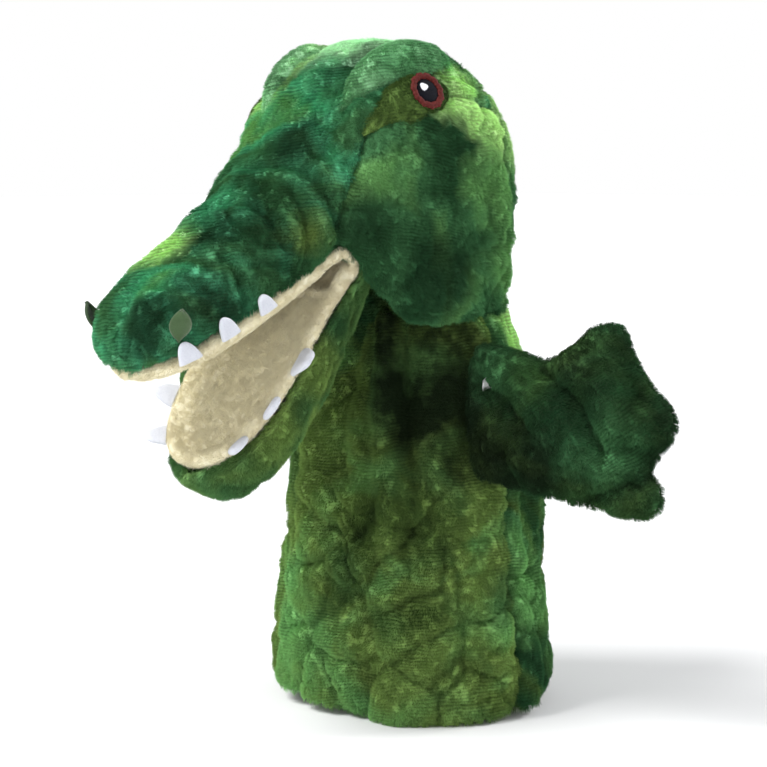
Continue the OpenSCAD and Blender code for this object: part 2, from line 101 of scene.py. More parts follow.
# ---------------------------------------------------------------- small maths


def ramp(v, low, high):
    """Smooth step from 0 at low to 1 at high."""
    s = np.clip((v - low) / (high - low), 0, 1)
    return s * s * (3 - 2 * s)


HASH_OF_CELL = (374761393, 668265263, 1440662683)
HASH_OF_SEED = 974634777
HASH_ROUNDS = ((13, 1274126177), (16, 2246822519))
LOW_32_BITS = 0xFFFFFFFF


def lattice(cell, seed):
    """A repeatable value from -1 to 1 for each whole-number cell."""
    h = sum(cell[..., k] * factor for k, factor in enumerate(HASH_OF_CELL)) + seed * HASH_OF_SEED
    h = h & LOW_32_BITS
    for shift, factor in HASH_ROUNDS:
        h = ((h ^ (h >> shift)) * factor) & LOW_32_BITS
    return ((h >> 8) & 0xFFFF) / 32767.5 - 1


def noise(points, size, seed, stretch=(1, 1, 1)):
    """Smooth noise from about -1 to 1; size is the width of its lumps in millimetres."""
    p = points / (size * np.array(stretch, float))
    base = np.floor(p).astype(np.int64)
    f = p - base
    f = f * f * f * (f * (f * 6 - 15) + 10)
    total = 0
    for corner in np.ndindex(2, 2, 2):
        weight = np.prod(np.where(np.array(corner) == 1, f, 1 - f), axis=-1)
        total = total + weight * lattice(base + np.array(corner), seed)
    return total


def cell_edges(points, size, seed):
    """Distance, in millimetres, to the nearest edge between soft cells of that size."""
    p = points / size
    base = np.floor(p).astype(np.int64)
    near = np.full(points.shape[0], 9.0)
    second = near.copy()
    for step in np.ndindex(3, 3, 3):
        cell = base + np.array(step) - 1
        seedpoint = cell + 0.5 + 0.42 * np.stack([lattice(cell, seed + k) for k in range(3)], axis=-1)
        d = np.linalg.norm(p - seedpoint, axis=-1)
        second = np.minimum(second, np.maximum(near, d))
        near = np.minimum(near, d)
    return (second - near) * size


def dense(line, step=0.8):
    """Points along a line of straight stretches, about a step apart."""
    line = np.array(line, float)
    parts = [line[:1]]
    for a, b in zip(line[:-1], line[1:]):
        n = max(int(np.linalg.norm(b - a) / step), 1)
        parts.append(a + (b - a) * (np.arange(1, n + 1) / n)[:, None])
    return np.concatenate(parts)


def smooth_line(line, step=0.8, closed=False):
    """A smooth curve through a few points, as points about a step apart."""
    line = np.array(line, float)
    n = len(line)
    before, after = (line[-1:], line[:2]) if closed else (line[:1], line[-1:])
    ends = np.concatenate([before, line, after])
    parts = []
    for i in range(n if closed else n - 1):
        a, b, c, d = ends[i:i + 4]
        t = np.linspace(0, 1, max(int(np.linalg.norm(c - b) / step), 2), endpoint=False)[:, None]
        parts.append(0.5 * (2 * b + (c - a) * t + (2 * a - 5 * b + 4 * c - d) * t ** 2
                            + (3 * b - a - 3 * c + d) * t ** 3))
    if not closed:
        parts.append(line[-1:])
    return np.concatenate(parts)


def distance_to(points, line):
    """Distance from each point to the nearest point of a line, 64 of its points at a time."""
    best = np.full(len(points), 1e9)
    for start in range(0, len(line), 64):
        piece = line[start:start + 64]
        best = np.minimum(best, np.linalg.norm(points[:, None] - piece[None], axis=-1).min(1))
    return best


def fold(points, line, depth, width):
    """Depth of a soft fold along a line; a positive depth stands proud."""
    return depth * np.exp(-(distance_to(points, line) / width) ** 2)


class Rows:
    """A table whose rows are read smoothly at any key, without overshoot."""

    def __init__(self, table):
        t = np.array(table, float)
        self.key, self.val = t[:, 0], t[:, 1:]
        gap = np.diff(self.key)[:, None]
        rise = np.diff(self.val, axis=0) / gap
        slope = np.zeros_like(self.val)
        before, after = 2 * gap[1:] + gap[:-1], gap[1:] + 2 * gap[:-1]
        turns = rise[:-1] * rise[1:] <= 0
        safe = np.where(turns, 1.0, rise[:-1]), np.where(turns, 1.0, rise[1:])
        slope[1:-1] = np.where(turns, 0, (before + after) / (before / safe[0] + after / safe[1]))
        slope[0], slope[-1] = rise[0], rise[-1]
        self.slope = slope

    def __call__(self, key):
        key = np.clip(key, self.key[0], self.key[-1])
        i = np.clip(np.searchsorted(self.key, key) - 1, 0, len(self.key) - 2)
        gap = (self.key[i + 1] - self.key[i])[..., None]
        s = (key - self.key[i])[..., None] / gap
        return (self.val[i] * (1 + 2 * s) * (1 - s) ** 2 + self.slope[i] * gap * s * (1 - s) ** 2
                + self.val[i + 1] * s * s * (3 - 2 * s) + self.slope[i + 1] * gap * s * s * (s - 1))


def even_keys(table, start, stop, step):
    """Keys of a table spaced so that its rows stay a step apart where its shape closes to a tip."""
    keys = np.linspace(start, stop, 4000)
    shape = table(keys)[:, [0, 1]]
    run = np.hypot(np.diff(keys), np.abs(np.diff(shape, axis=0)).max(1))
    length = np.concatenate([[0], np.cumsum(run)])
    return np.interp(np.linspace(0, length[-1], int(length[-1] / step)), length, keys)


# ---------------------------------------------------------------- meshes from points

# A mesh is (points, faces); every face has four corners, and a triangle repeats its last one.


def grid(points, wrap=False):
    """A mesh from rows of points."""
    rows, cols = points.shape[:2]
    i, j = np.meshgrid(np.arange(rows - 1), np.arange(cols if wrap else cols - 1), indexing="ij")
    k = (j + 1) % cols
    faces = np.stack([i * cols + j, i * cols + k, (i + 1) * cols + k, (i + 1) * cols + j], axis=-1)
    return points.reshape(-1, 3), faces.reshape(-1, 4)


def joined(*meshes):
    """Several meshes as one, with points in the same place shared."""
    points, faces, count = [], [], 0
    for p, f in meshes:
        points.append(p)
        faces.append(f + count)
        count += len(p)
    points, faces = np.concatenate(points), np.concatenate(faces)
    _, first, inverse = np.unique(np.round(points, 3), axis=0, return_index=True, return_inverse=True)
    points, faces = points[first], inverse.reshape(-1)[faces]
    return points, tidy_faces(faces)


def tidy_faces(faces):
    """Turns faces with two equal corners into triangles and drops flat ones."""
    kept = []
    same = faces == np.roll(faces, -1, axis=1)
    for f, s in zip(faces[same.any(1)], same[same.any(1)]):
        corners = [c for c, repeated in zip(f, s) if not repeated]
        if len(set(corners)) == 3 and len(corners) == 3:
            kept.append(corners + corners[-1:])
    whole = faces[~same.any(1)]
    return np.concatenate([whole, np.array(kept, int).reshape(-1, 4)])


def normals(mesh):
    """The outward direction at each point, weighted by the faces round it."""
    points, faces = mesh
    a, b, c, d = (points[faces[:, k]] for k in range(4))
    n = np.cross(c - a, d - b)
    total = np.zeros_like(points)
    for k in range(3):
        np.add.at(total, faces[:, k], n)
    fourth = faces[:, 3] != faces[:, 2]
    np.add.at(total, faces[fourth, 3], n[fourth])
    return total / np.maximum(np.linalg.norm(total, axis=1), 1e-9)[:, None]


def flipped(mesh):
    """The mesh with every face turned over."""
    points, faces = mesh
    turned = faces[:, ::-1].copy()
    triangle = faces[:, 2] == faces[:, 3]
    turned[triangle] = faces[triangle][:, [1, 0, 2, 2]]
    return points, turned


def outward(mesh, centre):
    """The mesh with its faces turned away from a point, or from one point for each of its own."""
    points, _ = mesh
    return mesh if ((points - centre) * normals(mesh)).sum() > 0 else flipped(mesh)


def toward(mesh, way):
    """The mesh with its faces turned the way that is given for each point."""
    return mesh if (normals(mesh) * way).sum() > 0 else flipped(mesh)


def rim_edges(faces):
    """The directed edges that only one face uses."""
    starts, ends = faces.ravel(), np.roll(faces, -1, axis=1).ravel()
    real = starts != ends
    starts, ends = starts[real], ends[real]
    size = int(faces.max()) + 1
    alone = ~np.isin(starts * size + ends, ends * size + starts)
    return starts[alone], ends[alone]


def thickened(mesh, thickness):
    """A closed sheet: the mesh, a copy of it further in, and its rims."""
    points, faces = mesh
    inner = points - normals(mesh) * thickness
    a, b = rim_edges(faces)
    n = len(points)
    _, inside = flipped(mesh)
    rims = np.stack([b, a, a + n, b + n], axis=-1)
    return np.concatenate([points, inner]), np.concatenate([faces, inside + n, rims])


def area_of(mesh):
    """The mesh's area in square millimetres."""
    points, faces = mesh
    a, b, c, d = (points[faces[:, k]] for k in range(4))
    return np.linalg.norm(np.cross(c - a, d - b), axis=1).sum() / 2


def add_piece(name, mesh, material):
    """Makes the mesh an object of the scene, smooth and in metres."""
    points, faces = mesh
    triangle = faces[:, 2] == faces[:, 3]
    corners = [f[:3] if t else f for f, t in zip(faces.tolist(), triangle.tolist())]
    data = bpy.data.meshes.new(name)
    data.from_pydata((points * MM).tolist(), [], corners)
    data.validate()
    data.polygons.foreach_set("use_smooth", [True] * len(data.polygons))
    ob = bpy.data.objects.new(name, data)
    bpy.context.scene.collection.objects.link(ob)
    data.materials.append(material)
    return ob


# ---------------------------------------------------------------- materials


class Looks:
    """Node-based materials, written as short chains of nodes."""

    def __init__(self, name, roughness, sheen=0.0, sheen_tint=(1, 1, 1)):
        self.mat = bpy.data.materials.new(name)
        self.mat.use_nodes = True
        self.tree = self.mat.node_tree
        self.shader = self.tree.nodes["Principled BSDF"]
        self.shader.inputs["Roughness"].default_value = roughness
        self.shader.inputs["Specular IOR Level"].default_value = 0.15
        self.shader.inputs["Sheen Weight"].default_value = sheen
        self.shader.inputs["Sheen Roughness"].default_value = 0.5
        self.shader.inputs["Sheen Tint"].default_value = (*sheen_tint, 1)
        self.place = self.node("ShaderNodeTexCoord").outputs["Object"]

    def node(self, kind, **inputs):
        n = self.tree.nodes.new(kind)
        for key, value in inputs.items():
            self.put(n.inputs[key.replace("_", " ")], value)
        return n

    def put(self, socket, value):
        if isinstance(value, bpy.types.NodeSocket):
            self.tree.links.new(value, socket)
        else:
            socket.default_value = value

    def stretched(self, scale, offset=(0, 0, 0)):
        n = self.node("ShaderNodeMapping", Vector=self.place, Scale=scale, Location=offset)
        return n.outputs["Vector"]

    def noise(self, size, detail=4.0, distortion=0.0, at=None, rough=0.55):
        """Noise whose lumps are about size metres wide."""
        n = self.node("ShaderNodeTexNoise", Vector=at or self.place, Scale=1 / size, Detail=detail,
                      Distortion=distortion, Roughness=rough)
        return n.outputs["Fac"]

    def between(self, value, low, high, to_low=0.0, to_high=1.0):
        n = self.node("ShaderNodeMapRange", Value=value)
        n.inputs["From Min"].default_value = low
        n.inputs["From Max"].default_value = high
        n.inputs["To Min"].default_value = to_low
        n.inputs["To Max"].default_value = to_high
        return n.outputs["Result"]

    def colours(self, value, stops):
        n = self.node("ShaderNodeValToRGB", Fac=value)
        band = n.color_ramp
        while len(band.elements) < len(stops):
            band.elements.new(0.5)
        for element, (at, colour) in zip(band.elements, stops):
            element.position = at
            element.color = (*colour, 1)
        return n.outputs["Color"]

    def mixed(self, share, a, b, how="MIX"):
        n = self.tree.nodes.new("ShaderNodeMix")
        n.data_type = "RGBA"
        n.blend_type = how
        for socket, value in ((n.inputs[0], share), (n.inputs[6], a), (n.inputs[7], b)):
            self.put(socket, (*value, 1) if isinstance(value, tuple) and len(value) == 3 else value)
        return n.outputs[2]

    def sum(self, a, b, how="ADD"):
        n = self.tree.nodes.new("ShaderNodeMath")
        n.operation = how
        self.put(n.inputs[0], a)
        self.put(n.inputs[1], b)
        return n.outputs[0]

    def near(self, centre_mm, radius_mm, ragged):
        """1 near a place on the object, falling to 0 at the radius, with a ragged edge."""
        n = self.tree.nodes.new("ShaderNodeVectorMath")
        n.operation = "DISTANCE"
        self.put(n.inputs[0], self.place)
        n.inputs[1].default_value = [c * MM for c in centre_mm]
        moved = self.sum(n.outputs["Value"], self.between(ragged, 0.3, 0.7, -0.35 * radius_mm * MM,
                                                          0.35 * radius_mm * MM))
        return self.between(moved, 0.35 * radius_mm * MM, radius_mm * MM, 1.0, 0.0)

    def strand_shade(self, root, tip):
        """Painted shade at a hair's root and painted light at its tip: darker at the root than at the tip; 1
        on everything that isn't a hair.
        """
        info = self.tree.nodes.new("ShaderNodeHairInfo")
        along = self.between(info.outputs["Intercept"], 0.0, 1.0, root - 1, tip - 1)
        return self.sum(1.0, self.sum(info.outputs["Is Strand"], along, "MULTIPLY"))

    def stored(self, name):
        n = self.tree.nodes.new("ShaderNodeAttribute")
        n.attribute_name = name
        return n.outputs["Fac"]

    def bump(self, height, strength, distance, before=None):
        """Raised detail on the cloth itself; a pile's hairs keep their own round shape."""
        info = self.tree.nodes.new("ShaderNodeHairInfo")
        on_cloth = self.sum(strength, self.sum(1.0, info.outputs["Is Strand"], "SUBTRACT"), "MULTIPLY")
        n = self.node("ShaderNodeBump", Height=height, Strength=on_cloth, Distance=distance)
        if before is not None:
            self.put(n.inputs["Normal"], before)
        return n.outputs["Normal"]

    def finish(self, colour, normal=None):
        self.put(self.shader.inputs["Base Color"], colour)
        if normal is not None:
            self.put(self.shader.inputs["Normal"], normal)
        return self.mat


DYE_GAIN = 1.6
RIB_SCALE = 2 * math.pi / (20 * 0.0014)     # one rib every 1.4 mm

DARK = (0.008, 0.032, 0.013)
SHADOW = (0.004, 0.008, 0.003)
DEEP = (0.022, 0.080, 0.030)
MID = (0.058, 0.175, 0.068)
TEAL = (0.082, 0.360, 0.190)
LEAF = (0.130, 0.300, 0.098)
OLIVE = (0.080, 0.135, 0.032)
MOSS = (0.150, 0.235, 0.060)
LIME = (0.420, 0.640, 0.250)
SAGE = (0.260, 0.490, 0.270)
# pale green for the crown's top: painted light from above
PALE_TOP_LIGHT = (0.470, 0.700, 0.470)


def plush(name, stops, tint, tint_share, blotches, seed, rib_turn):
    """Mottled plush: stops are the dye's colours, tint a second dye in patches, blotches are
    (place, radius, colour, strength) of dye and of painted light and shade; rib_turn tilts the fine ribs of
    its weave."""
    m = Looks(name, roughness=0.85, sheen=0.10, sheen_tint=(0.6, 1.0, 0.5))
    m.shader.inputs["Specular IOR Level"].default_value = 0.05
    at = m.stretched((1, 1, 1), (seed * 0.37, seed * 0.61, seed * 0.13))
    broad = m.noise(0.055, detail=2, distortion=0.7, at=at)
    colour = m.colours(m.between(broad, 0.30, 0.70), stops)
    patches = m.noise(0.036, detail=2, distortion=0.6, at=m.stretched((1, 1, 1.3), (seed, 0.2, 0.7)))
    colour = m.mixed(m.between(patches, 0.48, 0.68, 0, tint_share), colour, tint)
    ragged = m.noise(0.022, detail=3, at=at)
    for centre, radius, tone, strength in blotches:
        share = m.sum(m.near(centre, radius, ragged), strength, "MULTIPLY")
        colour = m.mixed(share, colour, tone)
    brushed = m.noise(0.010, detail=4, distortion=0.6, at=m.stretched((1.5, 1.5, 0.8)))
    tone = m.between(brushed, 0.3, 0.7, 0.90 * DYE_GAIN, 1.10 * DYE_GAIN)
    fine = m.noise(0.0013, detail=2)
    tone = m.sum(tone, m.between(fine, 0.3, 0.7, 0.86, 1.12), "MULTIPLY")
    turned_at = m.node("ShaderNodeMapping", Vector=m.place, Rotation=(0.0, math.radians(rib_turn), 0.15))
    bands = m.node("ShaderNodeTexWave", Vector=turned_at.outputs["Vector"], Scale=RIB_SCALE, Distortion=11.0,
                   Detail=2.0)
    bands.inputs["Detail Scale"].default_value = 0.3
    bands.bands_direction = "Z"
    where = m.between(m.noise(0.024, detail=2), 0.40, 0.64, 0.05, 0.38)
    dark = m.between(bands.outputs["Fac"], 0.1, 0.6, 1.0, 0.0)
    tone = m.sum(tone, m.sum(1.0, m.sum(where, dark, "MULTIPLY"), "SUBTRACT"), "MULTIPLY")
    # painted shade at the pile's roots and painted light at its tips
    tone = m.sum(tone, m.strand_shade(0.55, 1.25), "MULTIPLY")
    # painted shade in creases, seams and folds, from the value stored on the piece
    tone = m.sum(tone, m.sum(1.0, m.stored("crease_shade"), "SUBTRACT"), "MULTIPLY")
    grey = m.node("ShaderNodeCombineColor")
    for channel in ("Red", "Green", "Blue"):
        m.put(grey.inputs[channel], tone)
    colour = m.mixed(1.0, colour, grey.outputs["Color"], "MULTIPLY")
    tufts = m.noise(0.0014, detail=3, rough=0.7)
    lay = m.noise(0.006, detail=3, at=m.stretched((1.5, 1.5, 0.7)))
    normal = m.bump(bands.outputs["Fac"], 0.25, 0.0004, m.bump(lay, 0.3, 0.001))
    normal = m.bump(tufts, 0.5, 0.0007, normal)
    return m.finish(colour, normal)


def fleece(name, base, shade, low, seed):
    """Short cream pile with a soft, slightly matted grain, and painted shade deep in the mouth round its
    hinge.
    """
    m = Looks(name, roughness=0.9, sheen=0.2, sheen_tint=(1.0, 0.97, 0.9))
    at = m.stretched((1, 1, 1), (seed, seed * 0.5, 0))
    broad = m.noise(0.022, detail=3, at=at)
    colour = m.colours(m.between(broad, 0.3, 0.7), [(0.0, shade), (0.6, base), (1.0, base)])
    matted = m.noise(0.0028, detail=4)
    colour = m.mixed(1.0, colour, m.colours(m.between(matted, 0.3, 0.7), [
        (0.0, (0.93, 0.92, 0.90)), (1.0, (1.04, 1.04, 1.04))]), "MULTIPLY")
    ragged = m.noise(0.012, detail=3)
    # painted shade: the lining turns toward the dark low colour near the jaw's hinge, deep in the mouth
    corner = m.near(tuple(JAW_HINGE + np.array([0, -2, 0])), 36, ragged)
    colour = m.mixed(m.sum(corner, 0.55, "MULTIPLY"), colour, low)
    normal = m.bump(m.noise(0.0012, detail=3, rough=0.7), 0.5, 0.0007, m.bump(matted, 0.3, 0.0012))
    return m.finish(colour, normal)


def felt(name, base, shade, fibre_size):
    """Pressed felt: fibres in all directions and a slightly fuzzy, uneven colour."""
    m = Looks(name, roughness=0.95, sheen=0.3)
    fibres = m.noise(fibre_size, detail=6, distortion=2.5, rough=0.75)
    colour = m.colours(m.between(fibres, 0.3, 0.72), [(0.0, shade), (0.55, base), (1.0, base)])
    cloudy = m.noise(0.006, detail=2)
    colour = m.mixed(m.between(cloudy, 0.35, 0.7, 0, 0.35), colour, shade)
    return m.finish(colour, m.bump(fibres, 0.6, 0.0005, m.bump(cloudy, 0.2, 0.001)))


def woven(name, base, shade, pitch):
    """Plain woven cloth: threads over and under at the given pitch in metres."""
    m = Looks(name, roughness=0.85, sheen=0.15)
    height = None
    for direction in ("X", "Y", "Z"):
        wave = m.node("ShaderNodeTexWave", Vector=m.place, Scale=2 * math.pi / (20 * pitch), Distortion=0.4)
        wave.bands_direction = direction
        height = wave.outputs["Fac"] if height is None else m.sum(height, wave.outputs["Fac"])
    colour = m.colours(m.between(height, 0.6, 2.2), [(0.0, shade), (1.0, base)])
    slub = m.noise(0.004, detail=5, at=m.stretched((3, 3, 0.5)))
    colour = m.mixed(m.between(slub, 0.4, 0.7, 0, 0.4), colour, shade)
    return m.finish(colour, m.bump(height, 0.4, 0.0003, m.bump(slub, 0.2, 0.0006)))


def embroidery(name, base, shade, size, gloss):
    """Rayon thread laid side by side, with a low lustre."""
    m = Looks(name, roughness=gloss)
    m.shader.inputs["Specular IOR Level"].default_value = 0.12
    threads = m.noise(size, detail=4, distortion=0.8, rough=0.7)
    colour = m.colours(m.between(threads, 0.3, 0.7), [(0.0, shade), (1.0, base)])
    return m.finish(colour, m.bump(threads, 0.5, 0.0003))


def cardboard(name):
    """Grey-brown board of pressed pulp."""
    m = Looks(name, roughness=0.9)
    pulp = m.noise(0.0015, detail=6, rough=0.7)
    cloudy = m.noise(0.012, detail=3)
    colour = m.colours(m.between(pulp, 0.3, 0.7), [(0.0, (0.40, 0.31, 0.20)), (1.0, (0.60, 0.50, 0.36))])
    colour = m.mixed(m.between(cloudy, 0.4, 0.7, 0, 0.4), colour, (0.45, 0.36, 0.24))
    return m.finish(colour, m.bump(pulp, 0.3, 0.0003))


def wadding(name):
    """White fibre fill in loose tufts."""
    m = Looks(name, roughness=1.0, sheen=0.5)
    tufts = m.noise(0.004, detail=8, distortion=1.5, rough=0.75)
    colour = m.colours(m.between(tufts, 0.3, 0.7), [(0.0, (0.66, 0.67, 0.68)), (1.0, (0.93, 0.93, 0.92))])
    return m.finish(colour, m.bump(tufts, 0.9, 0.002))


# Patches on each panel: place, radius, colour, strength. Most are dye mottling; the pale and lime patches at
# the crown's top, its left edge, the snout's top and toward the back of the near cheek and neck are partly
# dye and partly painted light, and the SHADOW patches are painted shadow.
# the pale top patch is painted light from above; the lime patches at the left edge, the snout's top and
# behind the eye are partly dye and partly painted light
CROWN_PATCHES = [
    ((-3, -26, 285), 38, PALE_TOP_LIGHT, 0.85), ((-44, -48, 262), 34, LIME, 0.95), ((-12, -126, 201), 21, LIME, 0.95),
    ((2, -58, 264), 18, TEAL, 0.6), ((10, -76, 237), 17, DARK, 0.7), ((-4, -106, 211), 22, TEAL, 0.8),
    ((28, -136, 178), 22, DARK, 0.85), ((35, -91, 203), 15, MOSS, 0.95), ((15, -154, 170), 18, DARK, 0.85),
    ((-10, -157, 170), 12, MID, 0.8), ((30, -112, 196), 16, DEEP, 0.6), ((44, -6, 266), 22, LIME, 0.9)]
# the lime and leaf patches toward the back of the near cheek are partly dye and partly painted rim light
CHEEK_PATCHES = [
    ((43, -12, 264), 26, LIME, 0.95), ((47, 7, 246), 23, LIME, 0.9), ((51, -1, 222), 22, LEAF, 0.95),
    ((49, 10, 192), 22, LEAF, 0.7), ((47, -36, 184), 27, DARK, 0.8), ((42, -67, 206), 18, DARK, 0.7),
    ((44, -57, 249), 15, MID, 0.6), ((48, -48, 214), 14, MID, 0.4), ((-43, -12, 264), 26, LIME, 0.8),
    ((-50, 0, 222), 26, LEAF, 0.7), ((-47, -36, 184), 27, DARK, 0.7)]
NAPE_PATCHES = [
    ((32, 26, 246), 26, LIME, 0.7), ((0, 38, 200), 28, MID, 0.6), ((-28, 30, 236), 28, TEAL, 0.7),
    ((36, 22, 190), 22, LEAF, 0.8)]
# the two SHADOW patches are painted shadow: in the throat under the cheek, and right of the front ridge
# under the jaw and arm
FRONT_PATCHES = [
    ((43, -28, 134), 40, SHADOW, 0.97), ((28, -36, 165), 26, SHADOW, 0.97), ((-10, -48, 116), 27, MOSS, 0.9),
    ((-16, -52, 26), 32, LEAF, 0.8), ((36, -34, 80), 20, OLIVE, 0.7), ((64, -4, 52), 15, DEEP, 0.6),
    ((44, -36, 10), 24, MOSS, 0.6), ((10, -52, 60), 16, DEEP, 0.4), ((-46, -30, 90), 28, DEEP, 0.5)]
# the lime patch high on the left side by the neck is partly dye and partly painted rim light
BACK_PATCHES = [
    ((64, 12, 56), 30, LEAF, 0.95), ((58, 14, 120), 24, MID, 0.6), ((0, 57, 60), 36, MOSS, 0.5),
    ((38, 28, 164), 28, LIME, 0.85), ((-40, 40, 110), 34, DEEP, 0.5)]
# the SHADOW patches are painted shadow at the shoulder
ARM_PATCHES = [
    ((86, -22, 98), 16, SHADOW, 0.5), ((120, -14, 116), 22, MID, 0.8), ((64, -22, 150), 16, MID, 0.5),
    ((102, -14, 132), 20, DARK, 0.6), ((66, -24, 112), 19, SHADOW, 0.85)]
JAW_PATCHES = [
    ((36, -84, 150), 22, MOSS, 0.9), ((30, -98, 128), 15, MOSS, 0.6), ((0, -114, 108), 22, MID, 0.5),
    ((34, -72, 168), 11, DEEP, 0.6), ((33, -90, 134), 9, DEEP, 0.6)]
# painted shade on the far (right) brow, so the two brows of one cloth differ
FAR_BROW_SHADE = [((-42, -30, 274), 34, DEEP, 0.92)]

# Dyes of each panel, from its darkest to its lightest.
CROWN_DYES = [(0.0, DARK), (0.3, DEEP), (0.6, MID), (0.85, TEAL), (1.0, LEAF)]
CHEEK_DYES = [(0.0, DARK), (0.4, DEEP), (0.75, MID), (1.0, LEAF)]
NAPE_DYES = [(0.0, DARK), (0.35, DEEP), (0.7, MID), (1.0, LEAF)]
FRONT_DYES = [(0.0, (0.020, 0.042, 0.012)), (0.35, OLIVE), (0.7, MOSS), (1.0, LEAF)]
BACK_DYES = [(0.0, DARK), (0.3, DEEP), (0.6, OLIVE), (0.8, MID), (1.0, LEAF)]
ARM_DYES = [
    (0.0, (0.006, 0.014, 0.006)), (0.35, (0.012, 0.034, 0.013)),
    (0.7, (0.020, 0.066, 0.024)), (1.0, (0.052, 0.130, 0.036))]
JAW_DYES = [(0.0, (0.030, 0.080, 0.026)), (0.35, (0.062, 0.150, 0.048)), (0.7, MOSS), (1.0, MOSS)]
BROW_DYES = [(0.0, MID), (0.35, (0.10, 0.28, 0.12)), (0.75, SAGE), (1.0, LIME)]
EYE_CLOTH_DYES = [(0.0, (0.030, 0.060, 0.014)), (0.6, OLIVE), (1.0, MOSS)]

MAT = {
    "crown": plush("head_plush", CROWN_DYES, TEAL, 0.6, CROWN_PATCHES, seed=1, rib_turn=6),
    "cheek": plush("cheek_plush", CHEEK_DYES, DEEP, 0.4, CHEEK_PATCHES, seed=2, rib_turn=-24),
    "nape": plush("nape_plush", NAPE_DYES, LEAF, 0.5, NAPE_PATCHES, seed=3, rib_turn=4),
    "body": plush("body_plush", FRONT_DYES, LEAF, 0.5, FRONT_PATCHES, seed=4, rib_turn=3),
    "back": plush("back_plush", BACK_DYES, LEAF, 0.6, BACK_PATCHES, seed=5, rib_turn=3),
    "arm": plush("arm_plush", ARM_DYES, OLIVE, 0.3, ARM_PATCHES, seed=6, rib_turn=38),
    "jaw": plush("jaw_plush", JAW_DYES, MOSS, 0.5, JAW_PATCHES, seed=7, rib_turn=50),
    "brow": plush("brow_plush", BROW_DYES, SAGE, 0.6, FAR_BROW_SHADE, seed=8, rib_turn=10),
    "eye_cloth": plush("eye_cloth", EYE_CLOTH_DYES, OLIVE, 0.5, [], seed=9, rib_turn=20),
    "lining": fleece("mouth_lining", (0.90, 0.85, 0.65), (0.83, 0.77, 0.57), (0.26, 0.19, 0.08), 1),
    "tooth": felt("white_felt", (0.72, 0.74, 0.80), (0.56, 0.58, 0.66), 0.0012),
    "nostril_felt": felt("green_nostril_felt", (0.060, 0.115, 0.042), (0.035, 0.072, 0.024), 0.0010),
    # the same green felt darkened as painted shade, for the far nostril
    "nostril_felt_painted_shade": felt("green_nostril_felt_painted_shade", (0.040, 0.075, 0.030), (0.018, 0.040, 0.014), 0.0010),
    "iris": embroidery("iris_thread", (0.150, 0.022, 0.018), (0.050, 0.008, 0.007), 0.0009, 0.6),
    "pupil": embroidery("pupil_thread", (0.004, 0.004, 0.010), (0.001, 0.001, 0.003), 0.0008, 0.7),
    "glint": embroidery("white_thread", (0.92, 0.92, 0.95), (0.70, 0.72, 0.78), 0.0008, 0.5),
    "hem": woven("hem_cloth", (0.15, 0.30, 0.11), (0.06, 0.14, 0.05), 0.0009),
    "pocket": woven("pocket_cloth", (0.72, 0.72, 0.68), (0.48, 0.48, 0.45), 0.0008),
    "label": woven("label_cloth", (0.93, 0.93, 0.90), (0.76, 0.76, 0.74), 0.0005),
    "board": cardboard("stiff_board"),
    "fill": wadding("fibre_fill"),
}

# ---------------------------------------------------------------- pile

HAIRS_PER_GUIDE = 14
PLUSH_PER_CM2 = 850
FLEECE_PER_CM2 = 1300


def grow_pile(ob, outer_count, area_mm2, per_cm2, length_mm, lean, thickness=0.15, spread=0.25, seed=1):
    """A short pile on the first outer_count points of a piece; lean is the way it is brushed."""
    group = ob.vertex_groups.new(name="pile")
    group.add(list(range(outer_count)), 1.0, "REPLACE")
    modifier = ob.modifiers.new("pile", "PARTICLE_SYSTEM")
    system = modifier.particle_system
    system.vertex_group_density = "pile"
    system.seed = seed
    s = system.settings
    s.type = "HAIR"
    s.count = int(area_mm2 / 100 * per_cm2 / HAIRS_PER_GUIDE)
    s.hair_step = 2
    s.render_step = 2
    s.display_step = 1
    s.use_advanced_hair = True
    s.use_hair_bspline = False
    full = length_mm * MM
    s.normal_factor = full / 4
    s.object_align_factor = [full / 4 * k for k in lean]
    s.factor_random = full / 4 * spread
    s.root_radius = thickness
    s.tip_radius = thickness * 0.35
    s.radius_scale = MM
    s.child_type = "SIMPLE"
    s.rendered_child_count = HAIRS_PER_GUIDE
    s.child_percent = 0
    s.child_radius = 0.0016
    s.child_length = 1
    s.roughness_2 = 0.0
    s.material = 1


def paint_crease_shade(ob, crease_shade):
    """Stores painted shade for each point, from how deep in a crease or seam it lies, for the plush to be
    darker there.
    """
    layer = ob.data.color_attributes.new("crease_shade", "BYTE_COLOR", "CORNER")
    corners = np.zeros(len(ob.data.loops), int)
    ob.data.loops.foreach_get("vertex_index", corners)
    value = np.resize(crease_shade, len(ob.data.vertices))[corners]
    layer.data.foreach_set("color_srgb", np.repeat(value[:, None], 4, axis=1).ravel())


def declare(ob, body, blend, replaces):
    """Ties a piece to its body or, when blend is given, bakes its placement into its points; hides the nodes
    it stands for.
    """
    if blend:
        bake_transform(ob)
    else:
        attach(ob, body)
    if replaces:
        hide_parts(*replaces)


def skin(name, body, mesh, material, replaces, pile_mm=1.7, lean=(0, 0, -0.6),
         thickness=SKIN_T, blend=None, seed=1, crease_shade=None):
    """A panel of plush: a closed thin sheet with a pile on its outer side and painted shade in its creases.
    """
    outer = len(mesh[0])
    ob = add_piece(name, thickened(mesh, thickness), material)
    paint_crease_shade(ob, np.zeros(outer) if crease_shade is None else np.clip(crease_shade, 0, 0.85))
    if pile_mm:
        grow_pile(ob, outer, area_of(mesh), PLUSH_PER_CM2, pile_mm, lean, seed=seed)
    declare(ob, body, blend, replaces)


# ---------------------------------------------------------------- head


def palate_z(y):
    """Height of the palate's middle line."""
    return PALATE_ROOT[2] + (y - PALATE_ROOT[1]) * math.tan(PALATE_DROP)


def snout_row(y, half, top, wide, low, low_half):
    """A row of the head whose heights are counted from the palate."""
    return [y, half, palate_z(y) + top, palate_z(y) + wide, palate_z(y) + low, low_half]


